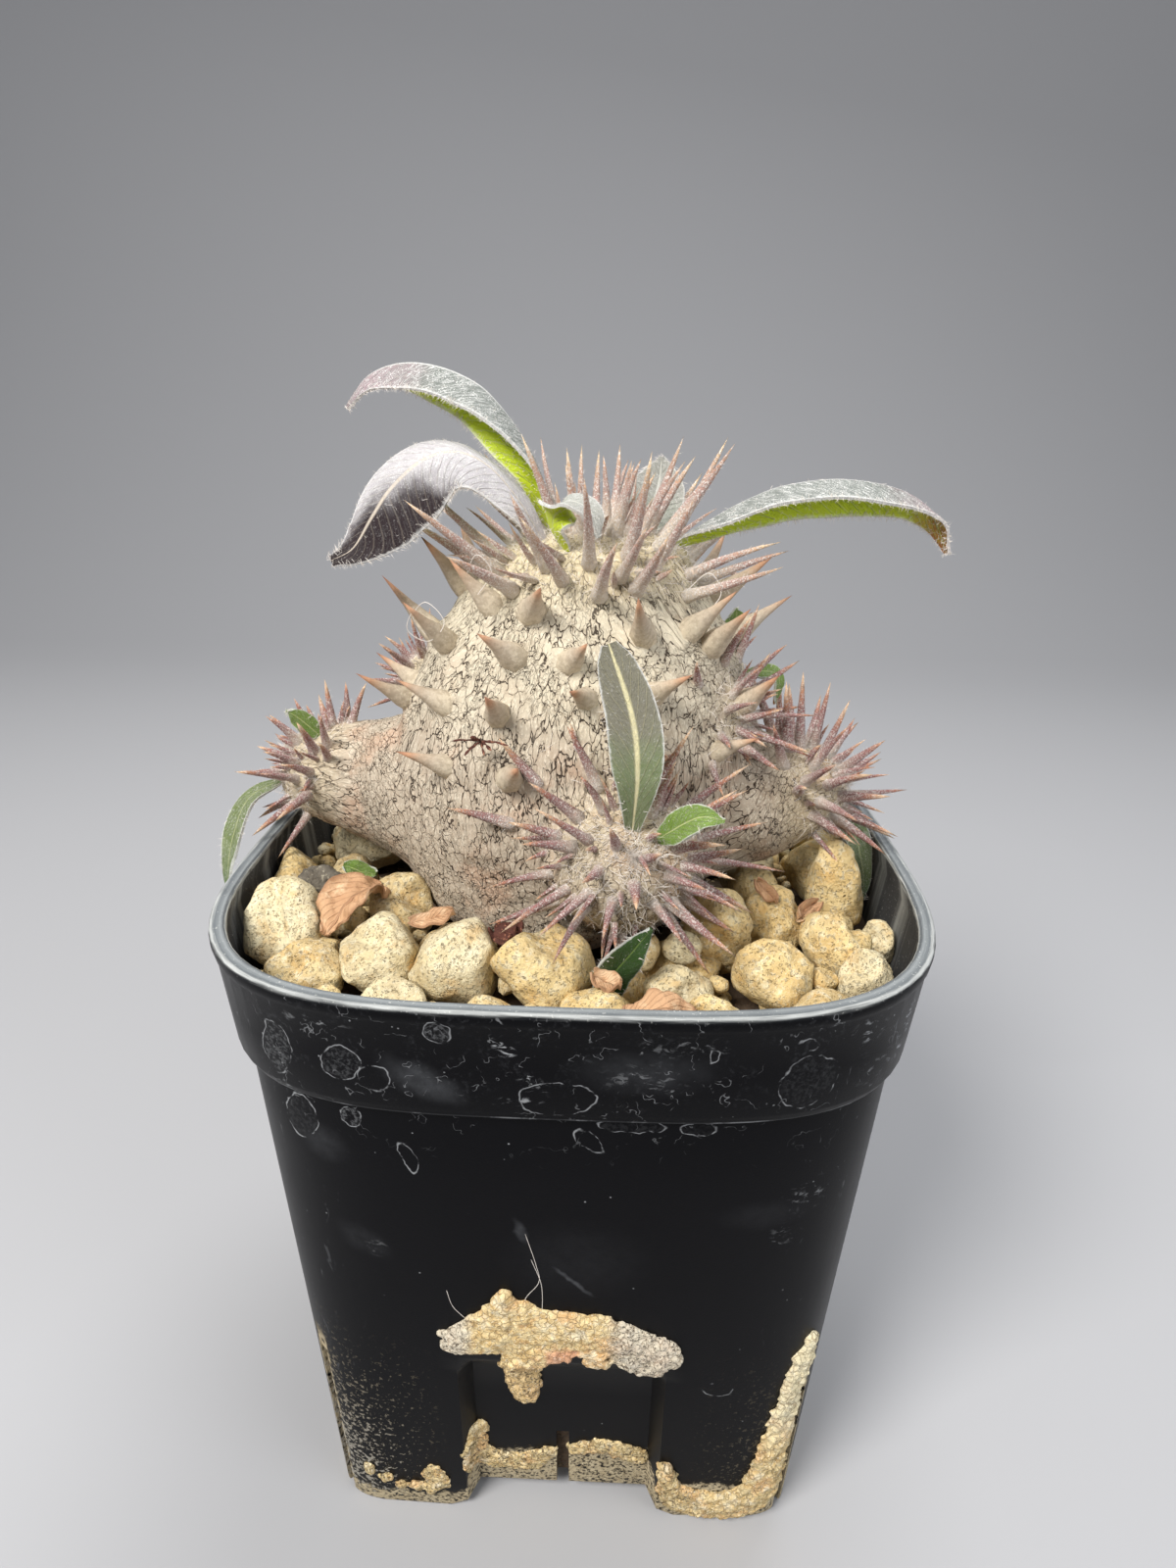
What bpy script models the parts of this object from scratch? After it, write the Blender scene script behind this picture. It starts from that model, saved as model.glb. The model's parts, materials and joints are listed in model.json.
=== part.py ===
"""A potted pachypodium: a swollen spiny plant in a square nursery pot dressed with stones.

Metres, +Z up. The pot stands on Z = 0 with its axis at X = Y = 0, and its front faces -Y.
Sizes are written in millimetres times MM, and points in millimetres through mm().
"""

import math
import random

import bmesh
import bpy
from mathutils import Matrix, Vector
from mathutils.bvhtree import BVHTree

MM = 0.001
GAP = 0.3 * MM  # clear space between two pieces that touch
GOLDEN_ANGLE = math.pi * (3 - math.sqrt(5))
UP = Vector((0, 0, 1))
SHARP_ANGLE = math.radians(40)  # a fold sharper than this stays an edge


def mm(*values):
    """A point given in millimetres."""
    return Vector(values) * MM


# Pot
POT_HEIGHT = 94.5 * MM
RIM_HALF = 45 * MM
COLLAR_LOW = 80.4 * MM
SHOULDER = 79.4 * MM
COLLAR_HALF = 43.2 * MM
SHOULDER_HALF = 42.2 * MM
BASE_HALF = 34 * MM
RIM_CORNER = 27.2 * MM
BASE_CORNER = 7.5 * MM
WALL = 1 * MM
RIM_BAND = 1.75 * MM
RIM_ROLL = 0.3 * MM
FLOOR_TOP = 4 * MM
FLOOR_UNDER = 3 * MM
PANEL_HALF = 12.2 * MM
PANEL_EDGE = 13.8 * MM
FOOT_EDGE = 16.4 * MM
PANEL_DEPTH = 2.5 * MM
BODY_MIDDLE = 58 * MM
BODY_LOW = 16 * MM
PANEL_TOP = 36 * MM
PANEL_BLEND = 5 * MM
SKIRT_LIFT = 2.4 * MM
CORNER_STEPS = 5
WALL_HEIGHTS = (BODY_LOW, PANEL_TOP - PANEL_BLEND, PANEL_TOP, BODY_MIDDLE)
SLOT_WIDTH = 1.8 * MM
SLOT_DEPTH = 8 * MM
MIDDLE_SLOT_TOP = 16 * MM
CORNER_SLOT_TOP = 31 * MM

# Soil, and the plant's foot in it
SOIL_TOP = 82.6 * MM
SOIL_RELIEF = 0.2 * MM
FOOT_CENTRE = mm(-3, 1, 0)
FOOT_LOW = 66 * MM
FOOT_LOW_RADIUS = 11.5 * MM
FOOT_HIGH = 90 * MM
FOOT_TOP_RADIUS = 17 * MM
FOOT_SIDES = 18

# Trunk: height, centre across, centre back, half width, half depth
TRUNK = [
    (83.8, -3, 1, 17, 17),
    (88, -3, 1, 20.5, 20),
    (93, -2.5, 1.5, 23, 21.5),
    (99, -2, 2, 25, 23),
    (105, -1, 2, 25.5, 23.5),
    (111, -0.3, 2, 25, 22.5),
    (117, 0, 2, 23, 20.5),
    (123, 0.3, 2, 20.6, 18.2),
    (128, 0.5, 2, 16.8, 15.4),
    (132, 1, 2, 13.8, 12.9),
    (135, 1.6, 2, 11.6, 11),
    (136.8, 1.6, 2, 7, 6.8),
]
TRUNK_SIDES = 40

# Limbs: the centres of their cross-sections and the radius there, from the trunk out
LEFT_ARM = [(-8, 1, 99, 14), (-20, 1.5, 100, 12.2), (-29, 2, 101.3, 9.4), (-36, 2, 102, 7.2),
            (-40.5, 2, 102, 5.6), (-43, 2, 102, 3.2)]
RIGHT_ARM = [(8, 0, 100, 14), (18, -1, 101, 11.4), (26, -2, 102, 8.8), (31, -2.5, 103, 6.8),
             (34.5, -3, 104.5, 4.6), (36.3, -3, 105.2, 2.2)]
FRONT_HEAD = [(3, -6, 99, 13.5), (5.2, -15, 99.5, 11.4), (6.4, -22, 100.4, 9), (7, -26.5, 101.4, 6.2),
              (7.3, -29, 102, 3)]
UPPER_RIGHT_HEAD = [(12, -2, 111, 7), (17.5, -5, 113.4, 5.2), (20.3, -6.5, 115.2, 3.6),
                    (21.6, -7, 116.2, 1.8)]
LEFT_REAR_HEAD = [(-10, 10, 104, 11), (-19, 17, 108.5, 7.4), (-25, 22, 111.4, 5), (-28, 24, 113, 2.6)]
LIMBS = (LEFT_ARM, RIGHT_ARM, FRONT_HEAD, UPPER_RIGHT_HEAD, LEFT_REAR_HEAD)
LIMB_SIDES = 20
SKIN_VOXEL = 1.1 * MM
SKIN_SMOOTHING = 10
SKIN_TRIANGLES = 1800


def blend(first, second, share):
    return first + (second - first) * share


def ease(share):
    share = min(max(share, 0), 1)
    return share * share * (3 - 2 * share)


def finish(name, colour, roughness):
    """A material of its own for a piece: one plain surface in the piece's mean colour."""
    material = bpy.data.materials.new(name)
    material.use_nodes = True
    surface = material.node_tree.nodes["Principled BSDF"]
    surface.inputs["Base Color"].default_value = (*colour, 1)
    surface.inputs["Roughness"].default_value = roughness
    surface.inputs["Metallic"].default_value = 0
    return material


def add_object(name, bm, material=None):
    """An object made from the bmesh, with its faces turned outwards and its rounds shaded smooth."""
    bmesh.ops.recalc_face_normals(bm, faces=bm.faces)
    for face in bm.faces:
        face.smooth = True
    for edge in bm.edges:
        edge.smooth = edge.calc_face_angle(0) < SHARP_ANGLE
    mesh = bpy.data.meshes.new(name)
    bm.to_mesh(mesh)
    bm.free()
    piece = bpy.data.objects.new(name, mesh)
    bpy.context.scene.collection.objects.link(piece)
    if material:
        mesh.materials.append(material)
    return piece


def bake(piece):
    """Applies the object's modifiers."""
    graph = bpy.context.evaluated_depsgraph_get()
    mesh = bpy.data.meshes.new_from_object(piece.evaluated_get(graph))
    piece.modifiers.clear()
    piece.data = mesh


def discard(pieces):
    for piece in pieces:
        bpy.data.objects.remove(piece, do_unlink=True)


def combine(piece, others, operation, solver="EXACT"):
    """Joins the other objects to the piece, or cuts them from it, in one Boolean, and removes them."""
    group = bpy.data.collections.new("combined with " + piece.name)
    for other in others:
        group.objects.link(other)
    step = piece.modifiers.new("Combine", "BOOLEAN")
    step.operation = operation
    step.operand_type = "COLLECTION"
    step.collection = group
    step.solver = solver
    bake(piece)
    discard(others)
    bpy.data.collections.remove(group)


def ring(bm, points):
    """A closed loop of vertices and edges, moved to the points."""
    loop = bmesh.ops.create_circle(bm, segments=len(points), radius=MM)["verts"]
    for vertex, point in zip(loop, points):
        vertex.co = point
    return loop


def skin(bm, outlines):
    """A closed skin over a row of outlines with the same number of points, filled at both ends."""
    loops = [ring(bm, outline) for outline in outlines]
    for low, high in zip(loops, loops[1:]):
        for here in range(len(low)):
            after = (here + 1) % len(low)
            bm.faces.new((low[here], low[after], high[after], high[here]))
    bm.faces.new(loops[0])
    bm.faces.new(loops[-1])
    return loops


def split_alike(bm):
    """Splits the four-cornered faces along their shorter diagonals, so that nested walls stay parallel."""
    sides = [face for face in bm.faces if len(face.verts) == 4]
    bmesh.ops.triangulate(bm, faces=sides, quad_method="SHORT_EDGE")


def disc(centre, axis, radius, sides, depth_radius=None):
    """The points of a circle or an ellipse round an axis."""
    turn = axis.to_track_quat("Z", "Y").to_matrix()
    depth_radius = depth_radius or radius
    points = []
    for side in range(sides):
        angle = 2 * math.pi * side / sides
        spoke = Vector((math.cos(angle) * radius, math.sin(angle) * depth_radius, 0))
        points.append(centre + turn @ spoke)
    return points


def tree_of(piece):
    """A search tree over the object's mesh, which lies in world space."""
    bm = bmesh.new()
    bm.from_mesh(piece.data)
    bmesh.ops.triangulate(bm, faces=bm.faces)
    tree = BVHTree.FromBMesh(bm)
    bm.free()
    return tree


def spots_of(piece):
    """The object's corners and the middles of its edges."""
    corners = [vertex.co for vertex in piece.data.vertices]
    middles = [(corners[edge.vertices[0]] + corners[edge.vertices[1]]) / 2 for edge in piece.data.edges]
    return corners + middles


def seat(piece, direction, supports):
    """Moves the piece along the direction until it is a gap away from the first support it meets."""
    tree = tree_of(piece)
    spots = spots_of(piece)
    holders = [(tree_of(support), spots_of(support)) for support in supports]
    shift = Vector()
    for _ in range(60):
        room = min(
            min(
                min(holder.find_nearest(spot + shift)[3] for spot in spots),
                min(tree.find_nearest(spot - shift)[3] for spot in holder_spots),
            )
            for holder, holder_spots in holders
        )
        if room - GAP < 0.02 * MM:
            break
        shift += direction * (room - GAP)
    piece.data.transform(Matrix.Translation(shift))


# Pot


def half_width(height):
    """Half the width of the pot's outside at a height."""
    if height <= SHOULDER:
        return blend(BASE_HALF, SHOULDER_HALF, height / SHOULDER)
    if height < COLLAR_LOW:
        return blend(SHOULDER_HALF, COLLAR_HALF, (height - SHOULDER) / (COLLAR_LOW - SHOULDER))
    return blend(COLLAR_HALF, RIM_HALF, (height - COLLAR_LOW) / (POT_HEIGHT - COLLAR_LOW))


def wall_outline(height, inset=0.0, lifted=False):
    """The pot's outline at a height: a square with round corners and a recessed panel in each side.

    Each side is a superellipse, whose exponent gives the corner its radius. A lifted outline
    rises in the panels, where the skirt stops short of the ground.
    """
    half = half_width(height) - inset
    corner = blend(BASE_CORNER, RIM_CORNER, height / POT_HEIGHT) - inset
    power = -math.log(2) / math.log(1 - (1 - math.sqrt(0.5)) * corner / half)
    panel_half = PANEL_HALF + 0.8 * max(inset, 0)
    panel_edge = PANEL_EDGE + 0.8 * max(inset, 0)
    stops = (-FOOT_EDGE, -panel_edge, -panel_half, 0, panel_half, panel_edge, FOOT_EDGE)
    angles = [math.atan2(stop, half) for stop in stops]
    start = math.atan2(half - corner, half)
    sweep = math.pi / 2 - 2 * start
    angles += [start + sweep * step / CORNER_STEPS for step in range(CORNER_STEPS + 1)]
    recess = PANEL_DEPTH * ease((PANEL_TOP - height) / PANEL_BLEND)
    points = []
    for quarter in range(4):
        turn = Matrix.Rotation(quarter * math.pi / 2, 3, "Z")
        for place, angle in enumerate(angles):
            reach = (abs(math.cos(angle)) ** power + abs(math.sin(angle)) ** power) ** (-1 / power)
            point = Vector((math.sin(angle), -math.cos(angle), 0)) * half * reach
            in_panel = 2 <= place <= 4
            at_edge = place in (1, 5)
            point.y += recess * in_panel
            lift = SKIRT_LIFT * (in_panel + at_edge / 2) if lifted else 0
            points.append(turn @ point + UP * (height + lift))
    return points


def slot_cutter(width, depth, top, distance, angle):
    """A box that cuts one drainage slot through the wall, from under the pot up to the slot's top."""
    below = 1 * MM
    turn = Matrix.Rotation(angle, 4, "Z")
    place = Matrix.Translation((0, -distance, (top - below) / 2))
    size = Matrix.Diagonal((width, depth, top + below, 1))
    bm = bmesh.new()
    bmesh.ops.create_cube(bm, size=1, matrix=turn @ place @ size)
    return add_object("slot cutter", bm)


def build_pot():
    """The pot's shell as one skin: under its floor, down the skirt, up the outside and down inside."""
    outlines = [
        wall_outline(FLOOR_UNDER, WALL),
        wall_outline(0, WALL - 0.1 * MM, lifted=True),
        wall_outline(0, 0.3 * MM, lifted=True),
        wall_outline(0.7 * MM, lifted=True),
        *[wall_outline(height) for height in WALL_HEIGHTS],
        wall_outline(SHOULDER),
        wall_outline(COLLAR_LOW),
        wall_outline(POT_HEIGHT - 1.8 * MM),
        wall_outline(POT_HEIGHT - 1.2 * MM, -RIM_ROLL),
        wall_outline(POT_HEIGHT - 0.3 * MM, -RIM_ROLL),
        wall_outline(POT_HEIGHT, 0.1 * MM),
        wall_outline(POT_HEIGHT, RIM_BAND - 0.25 * MM),
        wall_outline(POT_HEIGHT - 0.6 * MM, RIM_BAND),
        wall_outline(POT_HEIGHT - 3 * MM, WALL),
        wall_outline(COLLAR_LOW, WALL),
        wall_outline(SHOULDER, WALL),
        *[wall_outline(height, WALL) for height in reversed(WALL_HEIGHTS)],
        wall_outline(FLOOR_TOP, WALL),
    ]
    bm = bmesh.new()
    skin(bm, outlines)
    split_alike(bm)
    pot = add_object("pot", bm, finish("black plastic", (0.018, 0.018, 0.02), 0.34))
    middle = BASE_HALF - PANEL_DEPTH
    corner = math.sqrt(2) * (BASE_HALF - BASE_CORNER) + BASE_CORNER
    cutters = []
    for quarter in range(4):
        angle = quarter * math.pi / 2
        cutters.append(slot_cutter(SLOT_WIDTH, SLOT_DEPTH, MIDDLE_SLOT_TOP, middle, angle))
        cutters.append(
            slot_cutter(SLOT_WIDTH, SLOT_DEPTH, CORNER_SLOT_TOP, corner, angle + math.pi / 4)
        )
    combine(pot, cutters, "DIFFERENCE")
    return pot


# Soil


def soil_height(point):
    """The soil's top, a little uneven."""
    across = math.sin(point.x / (7 * MM))
    back = math.cos(point.y / (6 * MM))
    return SOIL_TOP + SOIL_RELIEF * across * back


def foot_radius(height):
    share = (height - FOOT_LOW) / (SOIL_TOP - FOOT_LOW)
    return blend(FOOT_LOW_RADIUS, FOOT_TOP_RADIUS, min(share, 1))


def build_soil():
    """The soil fills the pot up to the stones, with a plain hole that the plant's foot stands in."""
    inset = WALL + GAP
    edge = wall_outline(SOIL_TOP, inset)
    hole_low = FOOT_LOW - GAP
    outlines = [wall_outline(height, inset) for height in (FLOOR_TOP + GAP, *WALL_HEIGHTS, SHOULDER)]
    for share in (0, 0.25, 0.6, 1):
        outline = []
        for point in edge:
            away = (point - FOOT_CENTRE) * Vector((1, 1, 0))
            mouth = FOOT_CENTRE + away.normalized() * (foot_radius(SOIL_TOP) + GAP)
            place = blend(Vector((point.x, point.y, 0)), mouth, share)
            outline.append(place + UP * soil_height(place))
        outlines.append(outline)
    bottom = []
    for point in edge:
        away = (point - FOOT_CENTRE) * Vector((1, 1, 0))
        place = FOOT_CENTRE + away.normalized() * (foot_radius(hole_low) + GAP)
        bottom.append(place + UP * hole_low)
    outlines.append(bottom)
    bm = bmesh.new()
    skin(bm, outlines)
    split_alike(bm)
    return add_object("soil", bm, finish("potting soil", (0.1, 0.075, 0.055), 0.95))


# Plant's body


def limb(bm, stations, sides=LIMB_SIDES):
    """A round limb through the stations, each a centre and a radius."""
    centres = [mm(*station[:3]) for station in stations]
    outlines = []
    for place, station in enumerate(stations):
        before = centres[max(place - 1, 0)]
        after = centres[min(place + 1, len(centres) - 1)]
        outlines.append(disc(centres[place], after - before, station[3] * MM, sides))
    skin(bm, outlines)


def build_body():
    """The trunk with its arms and heads, melted into one smooth skin."""
    bm = bmesh.new()
    trunk = [
        disc(mm(across, back, height), UP, width * MM, TRUNK_SIDES, depth * MM)
        for height, across, back, width, depth in TRUNK
    ]
    skin(bm, trunk)
    for stations in LIMBS:
        limb(bm, stations)
    body = add_object("caudex", bm, finish("pale bark", (0.52, 0.43, 0.33), 0.85))
    melt = body.modifiers.new("Melt", "REMESH")
    melt.mode = "VOXEL"
    melt.voxel_size = SKIN_VOXEL
    smooth = body.modifiers.new("Smooth", "SMOOTH")
    smooth.iterations = SKIN_SMOOTHING
    bake(body)
    triangles = sum(len(face.vertices) - 2 for face in body.data.polygons)
    thin = body.modifiers.new("Thin", "DECIMATE")
    thin.ratio = SKIN_TRIANGLES / triangles
    bake(body)
    return body


# Spines


def spine(root, direction, length, width, droop=0.0, fat=False):
    """One spine as an object of its own: a slim four-sided thorn, or a fat one with a swollen base."""
    direction = direction.normalized()
    sag = Vector((0, 0, -droop * length))
    sink = 1.2 * MM + width * 0.4
    bm = bmesh.new()
    if fat:
        sides = 5
        stops = ((0.3, 1), (0.62, 0.42))
    else:
        sides = 4
        stops = ((0.45, 0.66),)
    outlines = [disc(root - direction * sink, direction, width / 2, sides)]
    for share, swell in stops:
        centre = root + direction * length * share + sag * share**2
        outlines.append(disc(centre, direction, width / 2 * swell, sides))
    tip = root + direction * length + sag
    outlines.append(disc(tip, direction, 0.05 * MM, sides))
    loops = skin(bm, outlines)
    bmesh.ops.pointmerge(bm, verts=loops[-1], merge_co=tip)
    return add_object("spine", bm)


# Trunk spine pairs: bearing in degrees, height, length; -90 degrees is the front
TRUNK_PAIRS = [
    (-104, 123.5, 7), (-76, 119.5, 7), (-128, 117, 8), (-121, 110, 7), (-52, 126, 10),
    (-160, 123.5, 10), (-124, 128.5, 9), (-22, 124, 11), (-14, 116.5, 9), (-52, 112, 6),
    (-176, 115, 9), (150, 121, 9), (120, 126, 10), (85, 122, 9), (60, 128, 10), (40, 120, 9),
    (14, 128, 10), (95, 110, 8), (50, 107, 8), (170, 129, 10),
]


SPINE_TESTS = 12


def spine_plan(body):
    """Where every spine stands: its root, direction, length, width, droop and whether it is fat."""
    draw = random.Random(7)
    tree = tree_of(body)
    plan = []

    def surface(start, direction, reach):
        hit, normal, _, _ = tree.ray_cast(start + direction * reach, -direction, reach)
        return hit, normal

    def rosette(centre, axis, reach, count, spread, longest, width, lift=0.0, droop=0.0):
        axis = axis.normalized()
        turn = axis.to_track_quat("Z", "Y").to_matrix()
        for place in range(count):
            share = (place + 0.6) / count
            tilt = math.radians(spread) * math.sqrt(share)
            bearing = place * GOLDEN_ANGLE + draw.uniform(-0.2, 0.2)
            around = Vector((math.cos(bearing), math.sin(bearing), 0))
            outward = turn @ (around * math.sin(tilt) + UP * math.cos(tilt))
            root, normal = surface(centre, outward, reach)
            if root is None:
                continue
            jitter = Vector([draw.uniform(-0.16, 0.16) for _ in range(3)])
            lean = outward + normal * 0.3 + jitter + UP * lift
            length = longest * draw.uniform(0.72, 1.05) * (0.7 + 0.3 * ease(share * 3))
            plan.append((root, lean, length, width * draw.uniform(0.85, 1.15), droop, False))

    rosette(mm(1.6, 2, 128), mm(0.05, -0.05, 1), 20 * MM, 60, 80, 15.5 * MM, 1.6 * MM, 0.3)
    rosette(mm(-36, 2, 102), mm(-1, -0.05, 0.5), 16 * MM, 34, 88, 8.4 * MM, 1.5 * MM, 0.2, 0.06)
    rosette(mm(30, -2.5, 102.5), mm(1, -0.1, 0.45), 16 * MM, 38, 92, 12 * MM, 1.5 * MM, 0.05, 0.06)
    rosette(mm(6.6, -21, 101), mm(0.1, -1, 0.42), 18 * MM, 54, 98, 10 * MM, 1.4 * MM, 0.05, 0.05)
    rosette(mm(19, -5.5, 114), mm(0.55, -0.7, 0.75), 10 * MM, 22, 80, 9 * MM, 1.3 * MM, 0.05)
    rosette(mm(-25.5, 22, 111), mm(-0.7, 0.5, 0.7), 12 * MM, 20, 80, 8.5 * MM, 1.3 * MM, 0.05)

    for bearing, height, length in TRUNK_PAIRS:
        for side in (-1, 1):
            angle = math.radians(bearing) + side * 0.19
            outward = Vector((math.cos(angle), math.sin(angle), 0))
            centre = mm(0.3, 2, 0) + UP * height * MM
            root, normal = surface(centre, outward, 40 * MM)
            across = outward.cross(UP) * -side
            lean = normal + across * draw.uniform(0.25, 0.6) + UP * draw.uniform(0, 0.35)
            reach = length * MM * draw.uniform(0.85, 1.15)
            plan.append((root, lean, reach, 4 * MM * draw.uniform(0.9, 1.1), 0.0, True))
    return plan


# Leaves

LEAF_THICKNESS = 0.75 * MM
UNFOLDED_BELOW = 0.7  # share of a leaf's full width
CURVE_PARTS = 120


def path_point(stations, share):
    """A point on the smooth curve through the stations."""
    spans = len(stations) - 1
    place = min(int(share * spans), spans - 1)
    part = share * spans - place
    first, last = stations[place], stations[place + 1]
    before = stations[place - 1] if place else first * 2 - last
    after = stations[place + 2] if place + 2 <= spans else last * 2 - first
    return 0.5 * (
        first * 2
        + (last - before) * part
        + (before * 2 - first * 5 + last * 4 - after) * part**2
        + (first * 3 - before - last * 3 + after) * part**3
    )


def even_points(stations, count):
    """Points on the smooth curve through the stations, the same length apart."""
    trail = [path_point(stations, part / CURVE_PARTS) for part in range(CURVE_PARTS + 1)]
    gone = [0]
    for first, last in zip(trail, trail[1:]):
        gone.append(gone[-1] + (last - first).length)
    points = []
    place = 0
    for step in range(count + 1):
        wanted = gone[-1] * step / count
        while place < CURVE_PARTS - 1 and gone[place + 1] < wanted:
            place += 1
        share = (wanted - gone[place]) / (gone[place + 1] - gone[place])
        points.append(trail[place].lerp(trail[place + 1], share))
    return points


def blade(name, stations, width, fold, facing, material, rows, columns):
    """A leaf along its stations: wide in the middle, folded along its midrib, one even thickness.

    facing lists the ways that its upper side looks, from base to tip. fold is in degrees, up or,
    below 0, down like a roof. It flattens out at the narrow ends, where the halves would collide.
    """
    fold = math.radians(fold)
    ways = [Vector(way).normalized() for way in facing]
    midrib = even_points(stations, rows)
    bm = bmesh.new()
    bmesh.ops.create_grid(bm, x_segments=columns, y_segments=rows, size=0.5)
    for vertex in bm.verts:
        across = 2 * vertex.co.x
        share = vertex.co.y + 0.5
        row = round(share * rows)
        ahead = (midrib[min(row + 1, rows)] - midrib[max(row - 1, 0)]).normalized()
        turn = share * (len(ways) - 1)
        part = min(int(turn), len(ways) - 2)
        way = ways[part].lerp(ways[part + 1], turn - part)
        upper = (way - ahead * way.dot(ahead)).normalized()
        side = ahead.cross(upper)
        belly = max(math.sin(math.pi * share**0.85) ** 0.8, 0.16)
        reach = across * width * MM / 2 * belly
        bend = fold * ease(belly / UNFOLDED_BELOW)
        vertex.co = midrib[row] + side * reach * math.cos(bend) + upper * abs(reach) * math.sin(bend)
    bmesh.ops.triangulate(bm, faces=bm.faces)
    leaf = add_object(name, bm, material)
    thick = leaf.modifiers.new("Thickness", "SOLIDIFY")
    thick.thickness = LEAF_THICKNESS
    thick.offset = 0
    bake(leaf)
    return leaf


LEAF_FINISHES = {
    "woolly leaf": ((0.42, 0.45, 0.4), 0.75),
    "dark leaf": ((0.16, 0.13, 0.15), 0.65),
    "green leaf": ((0.2, 0.3, 0.09), 0.6),
    "grey green leaf": ((0.2, 0.25, 0.17), 0.62),
}

# Leaves: name, path from the base, width, fold, the ways the upper side looks, finish, rows, columns
LEAVES = [
    ("leaf_upper_left",
     [(-3.5, 3, 138.6), (-6.8, 3.3, 146), (-11.9, 4, 152.8), (-16.2, 4.5, 155.5), (-21, 5, 156.7),
      (-25, 5, 156.4), (-28.3, 5, 154.8), (-30.8, 5, 151.5)],
     10.5, -62, ((0, 0.7, 1), (0, 0.6, 1), (0, 0.25, 1), (0, -0.4, 1)), "woolly leaf", 12, 4),
    ("leaf_lower_left",
     [(-5, -3, 136), (-10.5, -3.2, 142), (-16.2, -3.8, 145.2), (-21.2, -4.8, 143.6), (-25, -5.6, 139.8),
      (-28, -6, 135.4), (-31.2, -6, 133.2)],
     12, -30, ((0.25, -0.45, 0.9), (0.1, -0.5, 0.85), (-0.3, -0.8, 0.5), (-0.5, -0.85, 0.25)),
     "dark leaf", 12, 4),
    ("leaf_right",
     [(11.2, 1, 133.9), (16.8, 1.5, 138.7), (21.5, 2, 141.2), (26.1, 2, 142.9), (33.1, 2, 143.7),
      (40.7, 2.6, 142.5), (45.4, 3.4, 139.5), (48.2, 4, 134.8)],
     9.4, -62, ((0, 0.7, 1), (0, 0.7, 1), (0, 0.5, 1)), "woolly leaf", 12, 4),
    ("leaf_crown_back",
     [(8.2, 8, 137.3), (9.8, 10, 142), (10.2, 10.5, 146)],
     8.5, 14, ((0, -1, 0.3), (0, -1, 0.2)), "woolly leaf", 5, 4),
    ("leaf_crown_middle",
     [(-1.5, -6.5, 134.5), (-3.2, -7.4, 138.4), (-1.8, -8, 141), (1, -8.6, 140.2), (2.3, -9.4, 137.2)],
     5.4, 10, ((0.6, 0.5, 0.3), (0.4, -0.2, 1), (0.3, -0.7, 0.7)), "woolly leaf", 7, 4),
    ("leaf_front_long",
     [(7.4, -26.6, 107.2), (6.8, -27.8, 114), (5.8, -27, 120.2), (3.1, -25, 127.2)],
     6.4, 12, ((0, -1, 0.35), (0, -1, 0.6)), "grey green leaf", 8, 4),
    ("leaf_front_small",
     [(11.5, -28, 107.6), (14, -29.4, 109.6), (17, -30.2, 109.8)],
     4.4, 14, ((0.1, -0.8, 0.8), (0.3, -0.7, 0.6)), "green leaf", 5, 2),
    ("leaf_left_tiny",
     [(-37, -0.2, 108.9), (-39.2, -1.2, 111.2), (-40.6, -2, 112.4)],
     3, 10, ((0, -0.8, 0.6), (0, -0.8, 0.6)), "green leaf", 3, 2),
    ("leaf_left_hanging",
     [(-44.8, 0, 101.6), (-47.4, -1.5, 99), (-48.8, -5, 94.6), (-48.2, -9.5, 91), (-47.4, -12, 88.6)],
     3.6, 12, ((-0.3, 0.2, 1), (-1, -0.2, 0.2)), "grey green leaf", 9, 2),
    ("leaf_side_upper",
     [(24.2, 1.2, 119.6), (26.6, 1, 118.4), (26.6, 0, 114.6)],
     3, 14, ((0.2, -0.4, 1), (1, -0.4, 0.2)), "green leaf", 5, 2),
    ("leaf_side_small",
     [(21.2, 8, 121.6), (21.6, 8.6, 123.8), (21.6, 9, 126)],
     3.4, 10, ((0, -1, 0.2), (0, -1, 0.2)), "green leaf", 3, 2),
    ("leaf_right_hanging",
     [(37, 2.5, 98.5), (39.4, 1.6, 95.6), (40.8, -1, 91.4), (41, -4, 87)],
     5.6, 12, ((0.5, -0.6, 0.8), (0.7, -0.8, 0.2)), "green leaf", 7, 2),
    ("leaf_front_foot",
     [(4.4, -29.4, 83.8), (5.2, -30.2, 89.6), (7.2, -31.8, 93.8), (9.4, -32.4, 97.4)],
     4.6, 12, ((0.2, -1, 0.3), (0.2, -1, 0.3)), "grey green leaf", 6, 2),
]
SOIL_LEAF = "leaf_front_foot"


def build_leaves(body, soil):
    """Every leaf: each starts at the plant's skin, but for the one that stands in the soil."""
    finishes = {name: finish(name, *look) for name, look in LEAF_FINISHES.items()}
    tree = tree_of(body)
    leaves = []
    for name, path, width, fold, facing, look, rows, columns in LEAVES:
        stations = [mm(*station) for station in path]
        out = UP
        if name != SOIL_LEAF:
            place, out, _, _ = tree.find_nearest(stations[0])
            stations[0] = place + out * LEAF_THICKNESS
        leaf = blade(name, stations, width, fold, facing, finishes[look], rows, columns)
        seat(leaf, -out, [soil if name == SOIL_LEAF else body])
        leaves.append(leaf)
    return leaves


# Stones

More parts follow.
